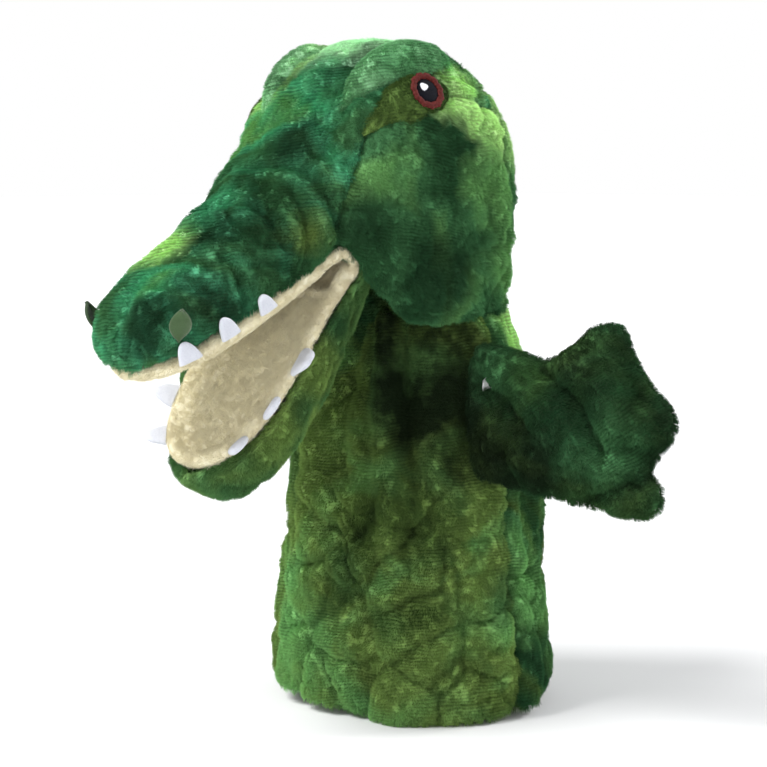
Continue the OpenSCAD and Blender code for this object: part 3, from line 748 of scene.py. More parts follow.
# y, half-width, top, height of the widest line, lower edge, half-width there
HEAD = Rows([
    snout_row(SNOUT_TIP, 0.01, 10.5, 10, 9.9, 0.01),
    snout_row(-157.2, 4.5, 15, 10.2, 6.5, 0.3),
    snout_row(-156.3, 11, 21, 11, 4, 0.8),
    snout_row(-153, 19.5, 28, 11, 2.2, 3),
    snout_row(-149, 23.5, 31, 10.5, LIP_LIFT, 9),
    snout_row(-144, 26, 32.5, 10, LIP_LIFT, 16.5),
    snout_row(-137, 28.5, 34, 9.5, LIP_LIFT, 22.5),
    snout_row(-120, 31.5, 36, 9, LIP_LIFT, 28),
    snout_row(-102, 33.5, 38, 10, LIP_LIFT, 29),
    [-86, 35.5, 230, palate_z(-86) + 12, palate_z(-86) + LIP_LIFT, 29.5],
    [-74, 38.5, 244, palate_z(-74) + 14, palate_z(-74) + LIP_LIFT, 31],
    [-64, 42.5, 258, 214, 194, 35],
    [-55, 46, 270, 217, 183, 40],
    [-46, 48.5, 277, 219, 174, 44],
    [-34, 51, 282, 220, 169, 46],
    [-18, 52, 284.5, 220, 168, 46],
    [-2, 50.5, 283, 218, 168.5, 45.5],
    [12, 46.5, 276, 217, 170, 43],
    [24, 38.5, 264, 215, 172, 33],
    [33, 27, 248, 212, 173, 18],
    [37.5, 14, 232, 208, 176, 6],
    [HEAD_BACK, 0.01, 214, 207, 192, 0.01],
])
PILE_INSET = 1.2        # the backing lies this far inside the plush's outer face
TUCK = 0.05             # how far the lower edge turns under, as a share of the way round
WIDEST_AT = 0.3         # where the head is widest, as a share of the way from its lower edge to its top


def head_point(y, t):
    """Point of the head's backing: t runs from the left lower edge (0) over the top to 1."""
    y, t = np.broadcast_arrays(np.asarray(y, float), np.asarray(t, float))
    r = HEAD(y)
    half, top, wide, low_z, low_half = (r[..., k] for k in range(5))
    side = np.where(t <= 0.5, 1.0, -1.0)
    q = np.where(t <= 0.5, 2 * t, 2 - 2 * t)
    low = np.clip(q / WIDEST_AT, 0, 1) * math.pi / 2
    up = np.clip((q - WIDEST_AT) / (1 - WIDEST_AT), 0, 1) * math.pi / 2
    under = np.clip(-q / TUCK, 0, 1) * 2.4
    tuck = 0.8 + 3.6 * ramp(y, -74, -62)
    below = q < WIDEST_AT
    x = np.where(below, low_half + (half - low_half) * np.sin(low), half * np.abs(np.cos(up)) ** 0.84)
    z = np.where(below, low_z + (wide - low_z) * (1 - np.cos(low)), wide + (top - wide) * np.sin(up) ** 0.9)
    x = np.maximum(x - tuck * (1 - np.cos(under)) * np.minimum(1, low_half / 8), 0.005 * half)
    z = z - 0.7 * tuck * np.sin(under)
    return np.stack([side * x, y, z], axis=-1)


def seam_y(t):
    """Where the crown ends and the cheek begins, going round the head."""
    q = np.clip(np.minimum(t, 1 - t) / CHEEK_TOP, 0, 1)
    return CHEEK_FRONT + (SEAM_BACK - CHEEK_FRONT) * q - SEAM_BOW * np.sin(math.pi * q) ** 0.9


def head_line(y, t):
    """Points on the head along a line."""
    return head_point(np.array(y, float), np.array(t, float))


def head_seams():
    """Lines of points along every seam of the head."""
    lines = []
    rise = np.linspace(-0.01, CHEEK_TOP, 70)
    back = np.linspace(SEAM_BACK, NAPE_FROM, 90)
    around = np.linspace(-0.02, 1.02, 330)
    for t_of in (lambda t: t, lambda t: 1 - t):
        lines.append(head_line(seam_y(rise), t_of(rise)))
        lines.append(head_line(back, t_of(np.full_like(back, CHEEK_TOP))))
    lines.append(head_line(np.full_like(around, NAPE_FROM), around))
    return np.concatenate(lines)


HEAD_SEAMS = head_seams()
SNOUT_CREASES = [
    head_line(np.linspace(-79, -86, 60), np.linspace(0.16, 0.52, 60)),
    head_line(np.linspace(-93, -89, 50), np.linspace(0.08, 0.36, 50)),
    head_line(np.linspace(-100, -107, 50), np.linspace(0.22, 0.60, 50)),
    head_line(np.linspace(-118, -124, 40), np.linspace(0.10, 0.34, 40)),
    head_line(np.linspace(-84, -96, 50), np.linspace(0.62, 0.90, 50))]
EYE_Y = -36.0
EYE_T = 0.291


def cells(p, size, seed, width, depth):
    """Soft cells pressed into the plush: how far points stand out, and how deep in a crease they lie, which
    sets painted shade.
    """
    warp = p + 0.13 * size * np.stack([noise(p, 0.6 * size, seed + k) for k in (1, 2, 3)], axis=-1)
    edges = cell_edges(warp, size, seed)
    crease = np.exp(-(edges / width) ** 2)
    pillow = np.exp(-edges / (0.22 * size))
    strength = 0.35 + 0.65 * ramp(noise(p, 1.6 * size, seed + 7), -0.45, 0.5)
    return -depth * strength * (0.55 * crease + 0.6 * pillow), strength * crease


def head_folds(p):
    """How far the head's backing stands in or out at each point, and the painted shade of its creases, seams
    and snout tip.
    """
    on_snout = ramp(-p[:, 1], 62, 80)
    large, crease = cells(p, 24, 11, 2.6, 1.0)
    small, fine = cells(p, 13, 19, 1.6, 1.0)
    out = 3.0 * (1 - 0.5 * on_snout) * large + (1.2 - 0.6 * on_snout) * small
    dark = (0.42 - 0.2 * on_snout) * crease + 0.22 * (1 - on_snout) * fine
    out += 1.3 * noise(p, 34, 13) + 0.9 * noise(p, 15, 14) + 0.5 * noise(p, 7, 15)
    near_seam = distance_to(p, HEAD_SEAMS[::2])
    seam = np.exp(-(near_seam / 1.7) ** 2)
    out += 1.2 * np.exp(-((near_seam - 7) / 4) ** 2) - 2.4 * seam
    out += 0.9 * noise(p, 6.5, 16, (1, 1.6, 0.7)) * np.exp(-(near_seam / 8) ** 2)
    for line in SNOUT_CREASES:
        near = distance_to(p, line)
        out += 1.3 * np.exp(-((near - 5) / 3.5) ** 2) - 1.9 * np.exp(-(near / 2.4) ** 2)
        dark = dark + 0.3 * np.exp(-(near / 2.2) ** 2)
    tip = np.exp(-(p[:, 0] / 1.3) ** 2) * ramp(-p[:, 1], 149, 154)
    out -= 1.8 * tip
    return out, dark + 0.6 * seam + 0.5 * tip


def dented(mesh, depth):
    """The mesh with its points moved along their normals."""
    return mesh[0] + normals(mesh) * depth[:, None], mesh[1]


HEAD_STEP = 1.25
HEAD_CENTRE = np.array([0, -40, 225.0])


def crown_mesh():
    """The T-shaped panel: the snout, and the crown behind it."""
    cols = int(118 / HEAD_STEP)
    low_t, high_t = -TUCK / 2, 1 + TUCK / 2
    side_cols = int(round((CHEEK_TOP - low_t) / (high_t - low_t) * cols))
    around = np.concatenate([
        np.linspace(low_t, CHEEK_TOP, side_cols + 1),
        np.linspace(CHEEK_TOP, 1 - CHEEK_TOP, cols - 2 * side_cols + 1)[1:-1],
        np.linspace(1 - CHEEK_TOP, high_t, side_cols + 1)])
    end = seam_y(np.clip(around, 0, 1))
    end[side_cols:-side_cols] = SEAM_BACK
    rows = even_keys(HEAD, SNOUT_TIP, CHEEK_FRONT - 20, HEAD_STEP)
    stretch = np.linspace(0, 1, int(30 / HEAD_STEP))[1:]
    y = np.concatenate([
        np.broadcast_to(rows[:, None], (len(rows), len(around))),
        rows[-1] + (end[None, :] - rows[-1]) * stretch[:, None]])
    front = grid(head_point(y, around[None, :]))
    back_y = np.linspace(SEAM_BACK, NAPE_FROM, int(95 / HEAD_STEP))
    middle = around[side_cols:-side_cols]
    back = grid(head_point(back_y[:, None], middle[None, :]))
    return settled(joined(front, back))


def settled(mesh):
    """Turned outward, drawn in by the pile and given its folds."""
    p = mesh[0]
    middle = np.zeros_like(p)
    middle[:, 1] = np.clip(p[:, 1], -150, 20)
    middle[:, 2] = np.where(p[:, 1] < -64, palate_z(p[:, 1]) + 14, 222)
    mesh = outward(mesh, middle)
    out, dark = head_folds(p)
    return dented(mesh, out - PILE_INSET), dark


def cheek_mesh(side):
    """The panel from the crown's seam down to the lower edge, and the painted shade of its hollows."""
    t = np.linspace(-TUCK / 2, CHEEK_TOP, int(78 / HEAD_STEP))
    share = np.linspace(0, 1, int(92 / HEAD_STEP))[:, None]
    start = seam_y(np.clip(t, 0, 1))
    start[-1] = SEAM_BACK
    y = start[None, :] + (NAPE_FROM - start[None, :]) * share
    return settled(joined(grid(head_point(y, t[None, :] if side > 0 else 1 - t[None, :]))))


def nape_mesh():
    """The panel that closes the back of the head, and the painted shade of its hollows."""
    rows = even_keys(HEAD, NAPE_FROM, HEAD_BACK, HEAD_STEP)
    t = np.linspace(-TUCK / 2, 1 + TUCK / 2, int(250 / HEAD_STEP))
    return settled(joined(grid(head_point(rows[:, None], t[None, :]))))


def head_frame(y, t):
    """A point of the head's skin with the directions along, round and out of it."""
    p = head_point(y, t)
    along = head_point(y + 1, t) - head_point(y - 1, t)
    around = head_point(y, t + 0.01) - head_point(y, t - 0.01)
    out = np.cross(along, around)
    out = out / np.linalg.norm(out, axis=-1, keepdims=True)
    away = ((p - HEAD_CENTRE) * out).sum(-1, keepdims=True)
    return p, out * np.sign(away)


def lens_mesh(side, y_from, y_to, t_low, t_high, height, lean=0.0, step=1.2):
    """A padded leaf lying on the head between two places along it."""
    u = np.linspace(0, 1, int(abs(y_to - y_from) * 1.3 / step))[:, None]
    v = np.linspace(0, 1, int(30 / step))[None, :]
    y = y_from + (y_to - y_from) * u + 0 * v
    bulge = np.sin(math.pi * np.clip(u, 0.004, 0.996)) ** 0.7
    t = (t_low + t_high) / 2 + lean * (u - 0.5) + (t_high - t_low) / 2 * bulge * (2 * v - 1)
    t = t if side > 0 else 1 - t
    p, out = head_frame(y, t)
    lift = -2.0 + (height + 2.0) * (bulge * np.sin(math.pi * v) ** 0.55)
    mesh = grid(p + out * lift[..., None])
    mesh = outward(joined(mesh), HEAD_CENTRE)
    wrinkles = 0.7 * noise(mesh[0], 9, 41) + 0.35 * noise(mesh[0], 4.5, 42)
    return dented(mesh, wrinkles)


def make_head():
    lean = (0.1, 0.25, -0.7)
    crown, dark = crown_mesh()
    skin("crown", "head", crown, MAT["crown"], ["crown_panel"],
         lean=(0, -0.5, -0.5), seed=11, crease_shade=dark)
    for side, name in ((1, "left"), (-1, "right")):
        cheek, dark = cheek_mesh(side)
        skin(f"{name}_cheek_skin", "head", cheek, MAT["cheek"], [f"{name}_cheek"],
             lean=lean, seed=12 + side, crease_shade=dark)
        brow = lens_mesh(side, y_from=-64, y_to=-10, t_low=0.330, t_high=0.425, height=5.5, lean=-0.015)
        skin(f"{name}_brow_skin", "head", brow, MAT["brow"], [f"{name}_brow"],
             lean=(0, 0, -0.3), seed=15 + side, pile_mm=1.5)
        patch = lens_mesh(side, y_from=-63, y_to=-20, t_low=0.252, t_high=0.336, height=3.4)
        skin(f"{name}_eye_cloth", "head", patch, MAT["eye_cloth"], [f"{name}_eye_patch"],
             lean=(0, -0.6, 0), seed=18 + side, pile_mm=1.1)
        make_eye(side, name)
        make_nostril(side, name)
    nape, dark = nape_mesh()
    skin("nape", "head", nape, MAT["nape"], ["nape_panel"],
         lean=(0, 0.1, -0.8), seed=21, crease_shade=dark)


def placed(points, origin, out, up_hint):
    """Points with x and y across a disc and z out of it, set at a place facing a direction."""
    z = out / np.linalg.norm(out)
    x = np.cross(up_hint, z)
    x = x / np.linalg.norm(x)
    y = np.cross(z, x)
    return origin + points[..., :1] * x + points[..., 1:2] * y + points[..., 2:] * z


def make_eye(side, name):
    """Embroidered eye: a ring of radial stitches, a satin pupil and a glint."""
    p, out = head_frame(np.array(EYE_Y), np.array(EYE_T if side > 0 else 1 - EYE_T))
    base = p + out * 3.0
    up = np.array([0, 0, 1.0])
    turns = np.linspace(0, 2 * math.pi, 289)[:-1]
    forward = -side

    def disc(points):
        return outward(joined(grid(placed(points, base, out, up), wrap=True)), base - out * 20)

    r, a = np.meshgrid(np.linspace(4.7, 7.4, 13), turns, indexing="ij")
    ring = np.sqrt(np.clip(1 - ((r - 6.05) / 1.4) ** 2, 0, 1))
    threads = 0.16 * np.abs(np.sin(36 * a + 0.35 * np.sin(7 * a)))
    uneven = 1 + 0.03 * np.sin(11 * a) + 0.02 * np.sin(23 * a)
    raised = 0.3 + (1.2 + threads) * ring
    iris = np.stack([r * uneven * np.cos(a), r * uneven * np.sin(a) * 1.12, raised], axis=-1)
    r, a = np.meshgrid(np.linspace(0.0, 4.9, 22), turns, indexing="ij")
    rows = 0.12 * np.abs(np.sin(5.5 * r * np.sin(a) + 0.2 * np.sin(9 * a)))
    raised = 0.4 + (1.0 + rows) * np.sqrt(1 - (r / 5.0) ** 2)
    pupil = np.stack([r * np.cos(a), r * np.sin(a) * 1.1, raised], axis=-1)
    r, a = np.meshgrid(np.linspace(0.0, 1.9, 9), turns, indexing="ij")
    rim = r * (1 + 0.10 * np.sin(3 * a + 1))
    raised = 1.15 + 0.5 * np.sqrt(1 - (r / 1.95) ** 2)
    glint = np.stack([rim * np.cos(a) + forward * 1.3, rim * np.sin(a) + 1.3, raised], axis=-1)
    parts = (("iris", iris, "iris", "eye_ring"), ("pupil", pupil, "pupil", "eye_black"),
             ("highlight", glint, "glint", "eye_white"))
    for part, points, look, slot in parts:
        ob = add_piece(f"{name}_{part}_stitching", thickened(disc(points), 0.35), MAT[look])
        declare(ob, "head", None, [f"{name}_{part}"])


LEAF_H = 15.5
LEAF_W = 8.6
LEAF_FOOT = np.array([25.0, -148, 165])
LEAF_TILT = math.radians(38)
LEAF_TURN = {1: math.radians(30), -1: math.radians(6)}


def make_nostril(side, name):
    """A leaf of felt beside the tip of the snout, pointing out, forward and up."""
    u = np.linspace(0, 1, 26)[:, None]
    v = np.linspace(-1, 1, 13)[None, :]
    half = LEAF_W / 2 * np.sin(math.pi * np.clip(u, 0.02, 0.985)) ** 0.8
    bow = 1.3 * v ** 2 + 0.9 * u * u + 0.2 * np.sin(5 * u + 2 * v)
    local = np.stack([-side * bow, v * half, u * LEAF_H - 1.5 + 0 * v], axis=-1)
    tilted = turned(local.reshape(-1, 3), "Y", side * LEAF_TILT)
    standing = turned(tilted, "Z", -side * LEAF_TURN[side]) + LEAF_FOOT * np.array([side, 1, 1])
    mesh = outward(joined(grid(standing.reshape(local.shape))), LEAF_FOOT * np.array([0, 1, 1.2]))
    # the far (right) leaf gets a darker copy of the same felt as painted shade
    look = "nostril_felt" if side > 0 else "nostril_felt_painted_shade"
    ob = add_piece(f"{name}_nostril_leaf", thickened(mesh, 1.4), MAT[look])
    declare(ob, "head", None, [f"{name}_nostril"])


# ---------------------------------------------------------------- mouth


ACROSS = np.sin(np.linspace(-1, 1, 61) * math.pi / 2)
ACROSS = np.sign(ACROSS) * (1 - (1 - np.abs(ACROSS)) ** 1.25)


def mouth_w(along):
    """Half-width of the mouth at a distance from its fold."""
    u = np.clip((along - MOUTH_L / 2) / (MOUTH_L / 2), 0, 1)
    return MOUTH_HALF_W * np.sqrt(1 - u ** 3)


def lining_mesh(place, direction, run, half, bead, sink, thickness, crown, seed):
    """A strip of lining whose side edges roll into a soft bead.

    place, direction: the middle of the cloth and the direction into the mouth at every station
    and column, as (y, z); run: the distance along; half: the half-width at each station; crown:
    how far the sides rise above the middle."""
    x = half[:, None] * ACROSS[None, :]
    s = run[:, None] + 0 * x
    outline = dense(np.concatenate([np.stack([run, half], 1), np.stack([run, -half], 1)[::-1]]), 0.7)
    flat = np.stack([s.ravel(), x.ravel()], axis=1)
    edge = distance_to(flat, outline).reshape(x.shape)
    edge = np.where(np.abs(ACROSS)[None, :] > 0.9999, 0, edge)
    roll = np.sqrt(np.clip(bead ** 2 - np.clip(bead - edge, 0, bead) ** 2, 0, None))
    fall = 1 - ramp(edge, bead, 3.2 * bead)
    raised = crown * (x / MOUTH_HALF_W) ** 2
    above = -sink + np.where(edge < bead, roll, bead * fall + sink * (1 - fall)) + raised * (1 - fall)
    below = -sink - np.where(edge < bead, roll * 0.8, 0.8 * bead * fall + (thickness - sink) * (1 - fall))
    level = np.concatenate([flat, np.zeros((len(flat), 1))], axis=1)
    lump = 0.35 * noise(level, 11, seed) + 0.25 * noise(level, 5, seed + 1)
    above = above + lump.reshape(x.shape) * ramp(edge, 0, 2)
    at = np.stack([x, place[..., 0] + 0 * x, place[..., 1] + 0 * x], axis=-1)
    way = np.stack([0 * x, direction[..., 0] + 0 * x, direction[..., 1] + 0 * x], axis=-1)
    front, back = at + way * above[..., None], at + way * below[..., None]
    parts = [toward(grid(front), way.reshape(-1, 3)), toward(grid(back), -way.reshape(-1, 3))]
    for end, inside in ((0, 1), (-1, -2)):
        cap = grid(np.stack([front[end], back[end]]))
        parts.append(toward(cap, np.tile(front[end] - front[inside], (2, 1))))
    return joined(*parts)


def mouth_station(origin, drop, along):
    """(y, z) of points along a straight mouth half, and the normal that points up out of it."""
    centre = np.stack([origin[1] - along * math.cos(drop), origin[2] - along * math.sin(drop)], axis=-1)
    up = np.array([-math.sin(drop), math.cos(drop)])
    return centre, np.broadcast_to(up, centre.shape)


FOLD_AT = 30.0          # the folded strip reaches this far along each half of the mouth


def rounded_run(start):
    """Distances along a mouth half, closer together toward the tip."""
    s = np.sin(np.linspace(0, 1, 78) * math.pi / 2)
    return start + (MOUTH_L - start) * s


def lining(name, body, mesh, replaces, blend=None, seed=1):
    """A strip of the mouth's lining with its short pile."""
    ob = add_piece(name, mesh, MAT["lining"])
    grow_pile(ob, len(mesh[0]), area_of(mesh), FLEECE_PER_CM2, 0.8, (0, 0, 0), thickness=0.12, spread=0.35,
              seed=seed)
    declare(ob, body, blend, replaces)


def fold_path(reach):
    """The lining's path round the back of the mouth, as (y, z), for a turn that starts at reach."""
    top, _ = mouth_station(PALATE_ROOT, PALATE_DROP, reach)
    low, _ = mouth_station(JAW_HINGE, JAW_DROP, reach)
    before, _ = mouth_station(PALATE_ROOT, PALATE_DROP, np.linspace(FOLD_AT + 2, reach, 12)[:-1])
    after, _ = mouth_station(JAW_HINGE, JAW_DROP, np.linspace(reach, FOLD_AT + 2, 12)[1:])
    middle, radius = (top + low) / 2, np.linalg.norm(top - low) / 2
    start = math.atan2(top[1] - middle[1], top[0] - middle[0])
    angle = start - np.linspace(0, math.pi, 17)
    bend = middle + radius * np.stack([1.1 * np.cos(angle), np.sin(angle)], axis=1)
    path = np.concatenate([before, bend, after])
    away = np.gradient(path, axis=0)
    normal = np.stack([away[:, 1], -away[:, 0]], axis=1)
    return path, normal / np.linalg.norm(normal, axis=1, keepdims=True)


def make_mouth():
    """The lining in three strips: palate, mouth floor and the fold that bends between them."""
    run = rounded_run(FOLD_AT)
    centre, up = mouth_station(PALATE_ROOT, PALATE_DROP, run)
    mesh = lining_mesh(centre[:, None], -up[:, None], run, mouth_w(run) + 1.8,
                       bead=3.0, sink=-0.9, thickness=1.3, crown=0.0, seed=51)
    lining("palate_lining", "head", mesh, ["palate"], seed=31)
    centre, up = mouth_station(JAW_HINGE, JAW_DROP, run)
    mesh = lining_mesh(centre[:, None], up[:, None], run, mouth_w(run) + 1.4,
                       bead=2.2, sink=0.0, thickness=1.2, crown=1.2, seed=53)
    lining("mouth_floor_lining", "lower_jaw", mesh, ["mouth_floor"], seed=32)
    reach = 3.5 + 18.5 * np.abs(ACROSS) ** 2.6
    paths = [fold_path(r) for r in reach]
    place = np.stack([path for path, _ in paths], axis=1)
    way = np.stack([normal for _, normal in paths], axis=1)
    middle_path = place[:, len(ACROSS) // 2]
    length = np.concatenate([[0], np.cumsum(np.linalg.norm(np.diff(middle_path, axis=0), axis=1))]) + 40
    half = MOUTH_HALF_W + 1.6 + 1.2 * np.sin(math.pi * np.linspace(0, 1, len(length)))
    at_turn = np.exp(-np.linspace(-2, 2, len(length)) ** 2)
    creases = 0.5 * np.sin(ACROSS * 34 + 1.0)[None, :, None] * at_turn[:, None, None]
    mesh = lining_mesh(place + way * creases, way, length, half,
                       bead=2.6, sink=0.0, thickness=1.2, crown=0.0, seed=55)
    split = np.array([0, -math.sin((PALATE_DROP + JAW_DROP) / 2), math.cos((PALATE_DROP + JAW_DROP) / 2)])
    hinge = (PALATE_ROOT + JAW_HINGE) / 2
    lining("mouth_fold", "head", mesh, [], seed=33,
           blend=("head", "lower_jaw", (hinge + 2.2 * split) * MM, (hinge - 2.2 * split) * MM))


TOOTH_T = 3.4
# For each tooth: distance from the fold, distance from the middle, turn, lean, width, height.
UPPER_TEETH = [[102, 26.6, 30, -8, 9.5, 8], [84, 31.4, 10, -6, 9, 8], [65, 34.0, 4, -6, 8.5, 7]]
LOWER_TEETH = [[62, 30.8, 2, 70, 13, 11], [84, 29.4, 8, 54, 11, 9.5], [102, 22.2, 32, 58, 10, 9]]


def turned(points, axis, angle):
    """Points turned about an axis through the origin."""
    m = np.array(Matrix.Rotation(angle, 3, axis))
    return points @ m.T


def tooth_mesh(width, height, seed):
    """A padded felt tooth, wide at its root and round at its tip."""
    u = np.sin(np.linspace(0, 1, 22) * math.pi / 2)[:, None]
    v = np.sin(np.linspace(-1, 1, 19) * math.pi / 2)[None, :]
    half = width / 2 * (1 - 0.5 * u ** 1.3) * (1 - u ** 6) ** 0.5
    depth = TOOTH_T / 2 * np.sqrt(np.clip(1 - v ** 4, 0, 1)) * np.sqrt(1 - u ** 5 + 0 * v)
    sheets = []
    for s in (-1, 1):
        p = np.stack([v * half, u * height + 0 * v, s * depth], axis=-1)
        sheets.append(grid(p) if s < 0 else flipped(grid(p)))
    mesh = joined(*sheets)
    mesh = outward(mesh, np.array([0, height * 0.4, 0]))
    return dented(mesh, 0.18 * noise(mesh[0], 3, seed))


def make_teeth():
    """Padded felt teeth along both lips, on both sides."""
    rows = (("upper", UPPER_TEETH, PALATE_ROOT, PALATE_DROP, 0.6, "head"),
            ("lower", LOWER_TEETH, JAW_HINGE, JAW_DROP, 0.9, "lower_jaw"))
    for half, table, root, drop, rise, body in rows:
        for side, side_name in ((1, "left"), (-1, "right")):
            for k, (along, out, turn, lean, width, height) in enumerate(table):
                points, faces = tooth_mesh(width, height, 60 + k)
                p = turned(points, "X", side * math.radians(lean))
                p = turned(p[:, [2, 0, 1]], "Z", -side * math.radians(turn))
                p = p + np.array([side * out, -along, rise])
                p = turned(p, "X", drop) + root
                mesh = outward((p, faces), p.mean(0))
                ob = add_piece(f"{half}_{side_name}_felt_tooth_{k + 1}", mesh, MAT["tooth"])
                declare(ob, body, None, [f"{half}_{side_name}_tooth_{k + 1}"])


# ---------------------------------------------------------------- jaw

# distance from the hinge, half-width, depth, half-width at the lip
JAW = Rows([
    [JAW_TIP, 0.01, 12, 0.01], [-117.7, 4.5, 15, 0.4], [-117, 9, 18.5, 0.8], [-114, 16.5, 22, 4],
    [-109, 22, 24.5, 11], [-101, 27, 27, 19], [-90, 30.5, 28.5, 25.5], [-76, 32.5, 29, 28.2],
    [-58, 34, 28, 29], [-40, 34, 25.5, 29], [-22, 33.5, 21, 28.5], [JAW_REAR, 32, 17, 27]])


JAW_LIP = 0.07          # share of the way round that the jaw's rolled lip takes on each side
JAW_LIP_DROP = 3.0


def jaw_point(y, s):
    """Point of the jaw's backing in the jaw's own frame; s runs from lip to lip underneath."""
    r = JAW(y)
    half, depth, lip = (r[..., k] for k in range(3))
    q = np.minimum(s, 1 - s)
    side = np.where(s <= 0.5, 1.0, -1.0)
    roll = np.clip(q / JAW_LIP, 0, 1) * math.pi / 2
    a = np.clip((s - JAW_LIP) / (1 - 2 * JAW_LIP), 0, 1) * math.pi
    x = np.where(q < JAW_LIP, side * (lip + (half - lip) * np.sin(roll)),
                 half * np.sign(np.cos(a)) * np.abs(np.cos(a)) ** 0.85)
    z = np.where(q < JAW_LIP, -LIP_LIFT - JAW_LIP_DROP * (1 - np.cos(roll)),
                 -LIP_LIFT - JAW_LIP_DROP - (depth - JAW_LIP_DROP) * np.abs(np.sin(a)) ** 0.85)
    return np.stack([x, y, z], axis=-1)


def jaw_mesh():
    """The jaw's plush, from lip to lip underneath, and the painted shade of its hollows."""
    rows = even_keys(JAW, JAW_TIP, JAW_REAR, HEAD_STEP)
    s = np.linspace(0, 1, int(100 / HEAD_STEP))
    local = jaw_point(rows[:, None] + 0 * s[None, :], s[None, :] + 0 * rows[:, None])
    mesh = joined(grid(local))
    middle = mesh[0].copy()
    middle[:, 0] = 0
    middle[:, 1] = np.clip(middle[:, 1], -112, -8)
    middle[:, 2] = -9
    mesh = outward(mesh, middle)
    p = mesh[0]
    large, crease = cells(p, 24, 71, 2.6, 1.0)
    depth = 1.8 * large + 1.2 * noise(p, 26, 76) + 0.6 * noise(p, 11, 77) + 0.3 * noise(p, 6, 78)
    depth += fold(p, smooth_line([[36, -30, -14], [33, -52, -20], [30, -76, -20]]), -1.6, 4)
    depth += fold(p, smooth_line([[20, -114, -10], [23, -108, -20], [14, -104, -26]]), -1.8, 2.4)
    mesh = dented(mesh, depth - PILE_INSET)
    world = turned(mesh[0], "X", JAW_DROP) + JAW_HINGE
    return (world, mesh[1]), 0.35 * crease


def make_jaw():
    mesh, dark = jaw_mesh()
    skin("jaw_plush", "lower_jaw", mesh, MAT["jaw"], ["jaw_skin"],
         lean=(0, -0.2, -0.5), seed=41, crease_shade=dark)


# ---------------------------------------------------------------- body

# height, half-width, half-depth in front, half-depth behind, as shares of the body's sizes
BODY = Rows([
    [0.00, 1.00, 1.00, 1.00], [0.12, 0.985, 1.00, 1.00], [0.30, 0.93, 0.97, 0.98], [0.48, 0.895, 0.93, 0.95],
    [0.64, 0.87, 0.89, 0.92], [0.78, 0.835, 0.84, 0.89], [0.90, 0.775, 0.77, 0.85], [1.00, 0.68, 0.69, 0.79],
    [1.06, 0.62, 0.62, 0.72]])


def body_point(f, turn):
    """Point of the body's backing: f is the share of the height, turn goes round from +X."""
    r = BODY(f)
    depth = np.where(np.sin(turn) < 0, r[..., 1], r[..., 2])
    near = math.radians(315)
    lift = 7 * np.sin(turn - near) ** 2 * (1 - ramp(f, 0.0, 0.4))
    return np.stack([HEM_HALF_W * r[..., 0] * np.cos(turn), HEM_HALF_D * depth * np.sin(turn),
                     f * BODY_H + lift], axis=-1)


def ridge(turn, f, at_top, at_foot, width):
    """A soft upright fold, 1 along its middle, that leans from one turn at the top to another."""
    centre = np.radians(at_foot + (at_top - at_foot) * f)
    off = (turn - centre + math.pi) % (2 * math.pi) - math.pi
    return np.exp(-(off / math.radians(width)) ** 2)


# Upright folds: turn at the top and at the foot, width in degrees, height, and where they fade out below.
UPPER_HALF = (0.2, 0.75)
WHOLE = (-2.0, -1.0)
BODY_RIDGES = [
    (296, 306, 5.0, 6.0, (0.25, 0.55)), (320, 330, 7.0, 2.2, UPPER_HALF), (278, 268, 5.5, -4.0, UPPER_HALF),
    (262, 246, 6.0, 3.2, UPPER_HALF), (236, 228, 6.0, -3.4, WHOLE), (205, 196, 5.0, 1.8, WHOLE)]


def body_folds(p, f, turn):
    """How far the body's backing stands in or out at each point, and the painted shade of its creases, seams
    and valley.
    """
    low = 1 - ramp(f, 0.45, 0.8)
    large, crease = cells(p, 27, 84, 3.0, 1.0)
    small, fine = cells(p, 15, 92, 1.8, 1.0)
    out = (1.8 + 2.4 * low) * large + (0.5 + 1.2 * low) * small
    dark = (0.25 + 0.30 * low) * crease + (0.08 + 0.14 * low) * fine
    out += 2.2 * noise(p, 42, 85) + 1.4 * noise(p, 17, 86, (0.9, 0.9, 1.8)) + 0.5 * noise(p, 8, 87)
    for at_top, at_foot, width, height, fades in BODY_RIDGES:
        out += ridge(turn, f, at_top, at_foot, width) * height * ramp(f, *fades)
    valley = ridge(turn, f, 306, 318, 5.0) * ramp(f, 0.3, 0.6)
    out -= 5.0 * valley
    seam = 0
    for at in (0, 180):
        off = np.abs((np.degrees(turn) - at + 180) % 360 - 180) * 1.05
        groove = np.exp(-(off / 1.7) ** 2)
        seam = seam + groove
        out -= 3.0 * groove
        out += 1.7 * noise(p, 7.5, 88 + at, (2, 2, 0.8)) * np.exp(-(off / 9) ** 2)
        out += 1.3 * np.exp(-((off - 7) / 4) ** 2)
    hem = np.exp(-((f - 0.055) / 0.012) ** 2)
    out -= 1.0 * hem * (0.6 + 0.4 * noise(p, 12, 91))
    out += 1.2 * np.sin(turn * 7 + 1.2) * (1 - ramp(f, 0, 0.3))
    out += 0.8 * np.sin(turn * 11) * (1 - ramp(f, 0, 0.15))
    return out, dark + 0.6 * seam + 0.35 * valley


BODY_STEP = 1.6


HEM_CURL = 0.018        # share of the height over which the hem turns in


def body_mesh(from_turn, to_turn):
    """Half of the body between two turns in degrees, and the painted shade of its hollows."""
    f = np.linspace(0.0, 1.03, int(BODY_H / BODY_STEP))
    turn = np.radians(np.linspace(from_turn, to_turn, int(190 / BODY_STEP)))
    f, turn = np.meshgrid(f, turn, indexing="ij")
    p = body_point(f, turn)
    curl = np.clip((HEM_CURL - f[:2]) / HEM_CURL, 0, 1)
    mesh = grid(p)
    mesh = outward(mesh, mesh[0] * np.array([0, 0, 1.0]))
    depth, dark = body_folds(mesh[0], f.ravel(), turn.ravel())
    depth = depth - PILE_INSET
    depth[:turn.shape[1] * 2] -= 1.0 * curl.ravel()
    return dented(mesh, depth), dark


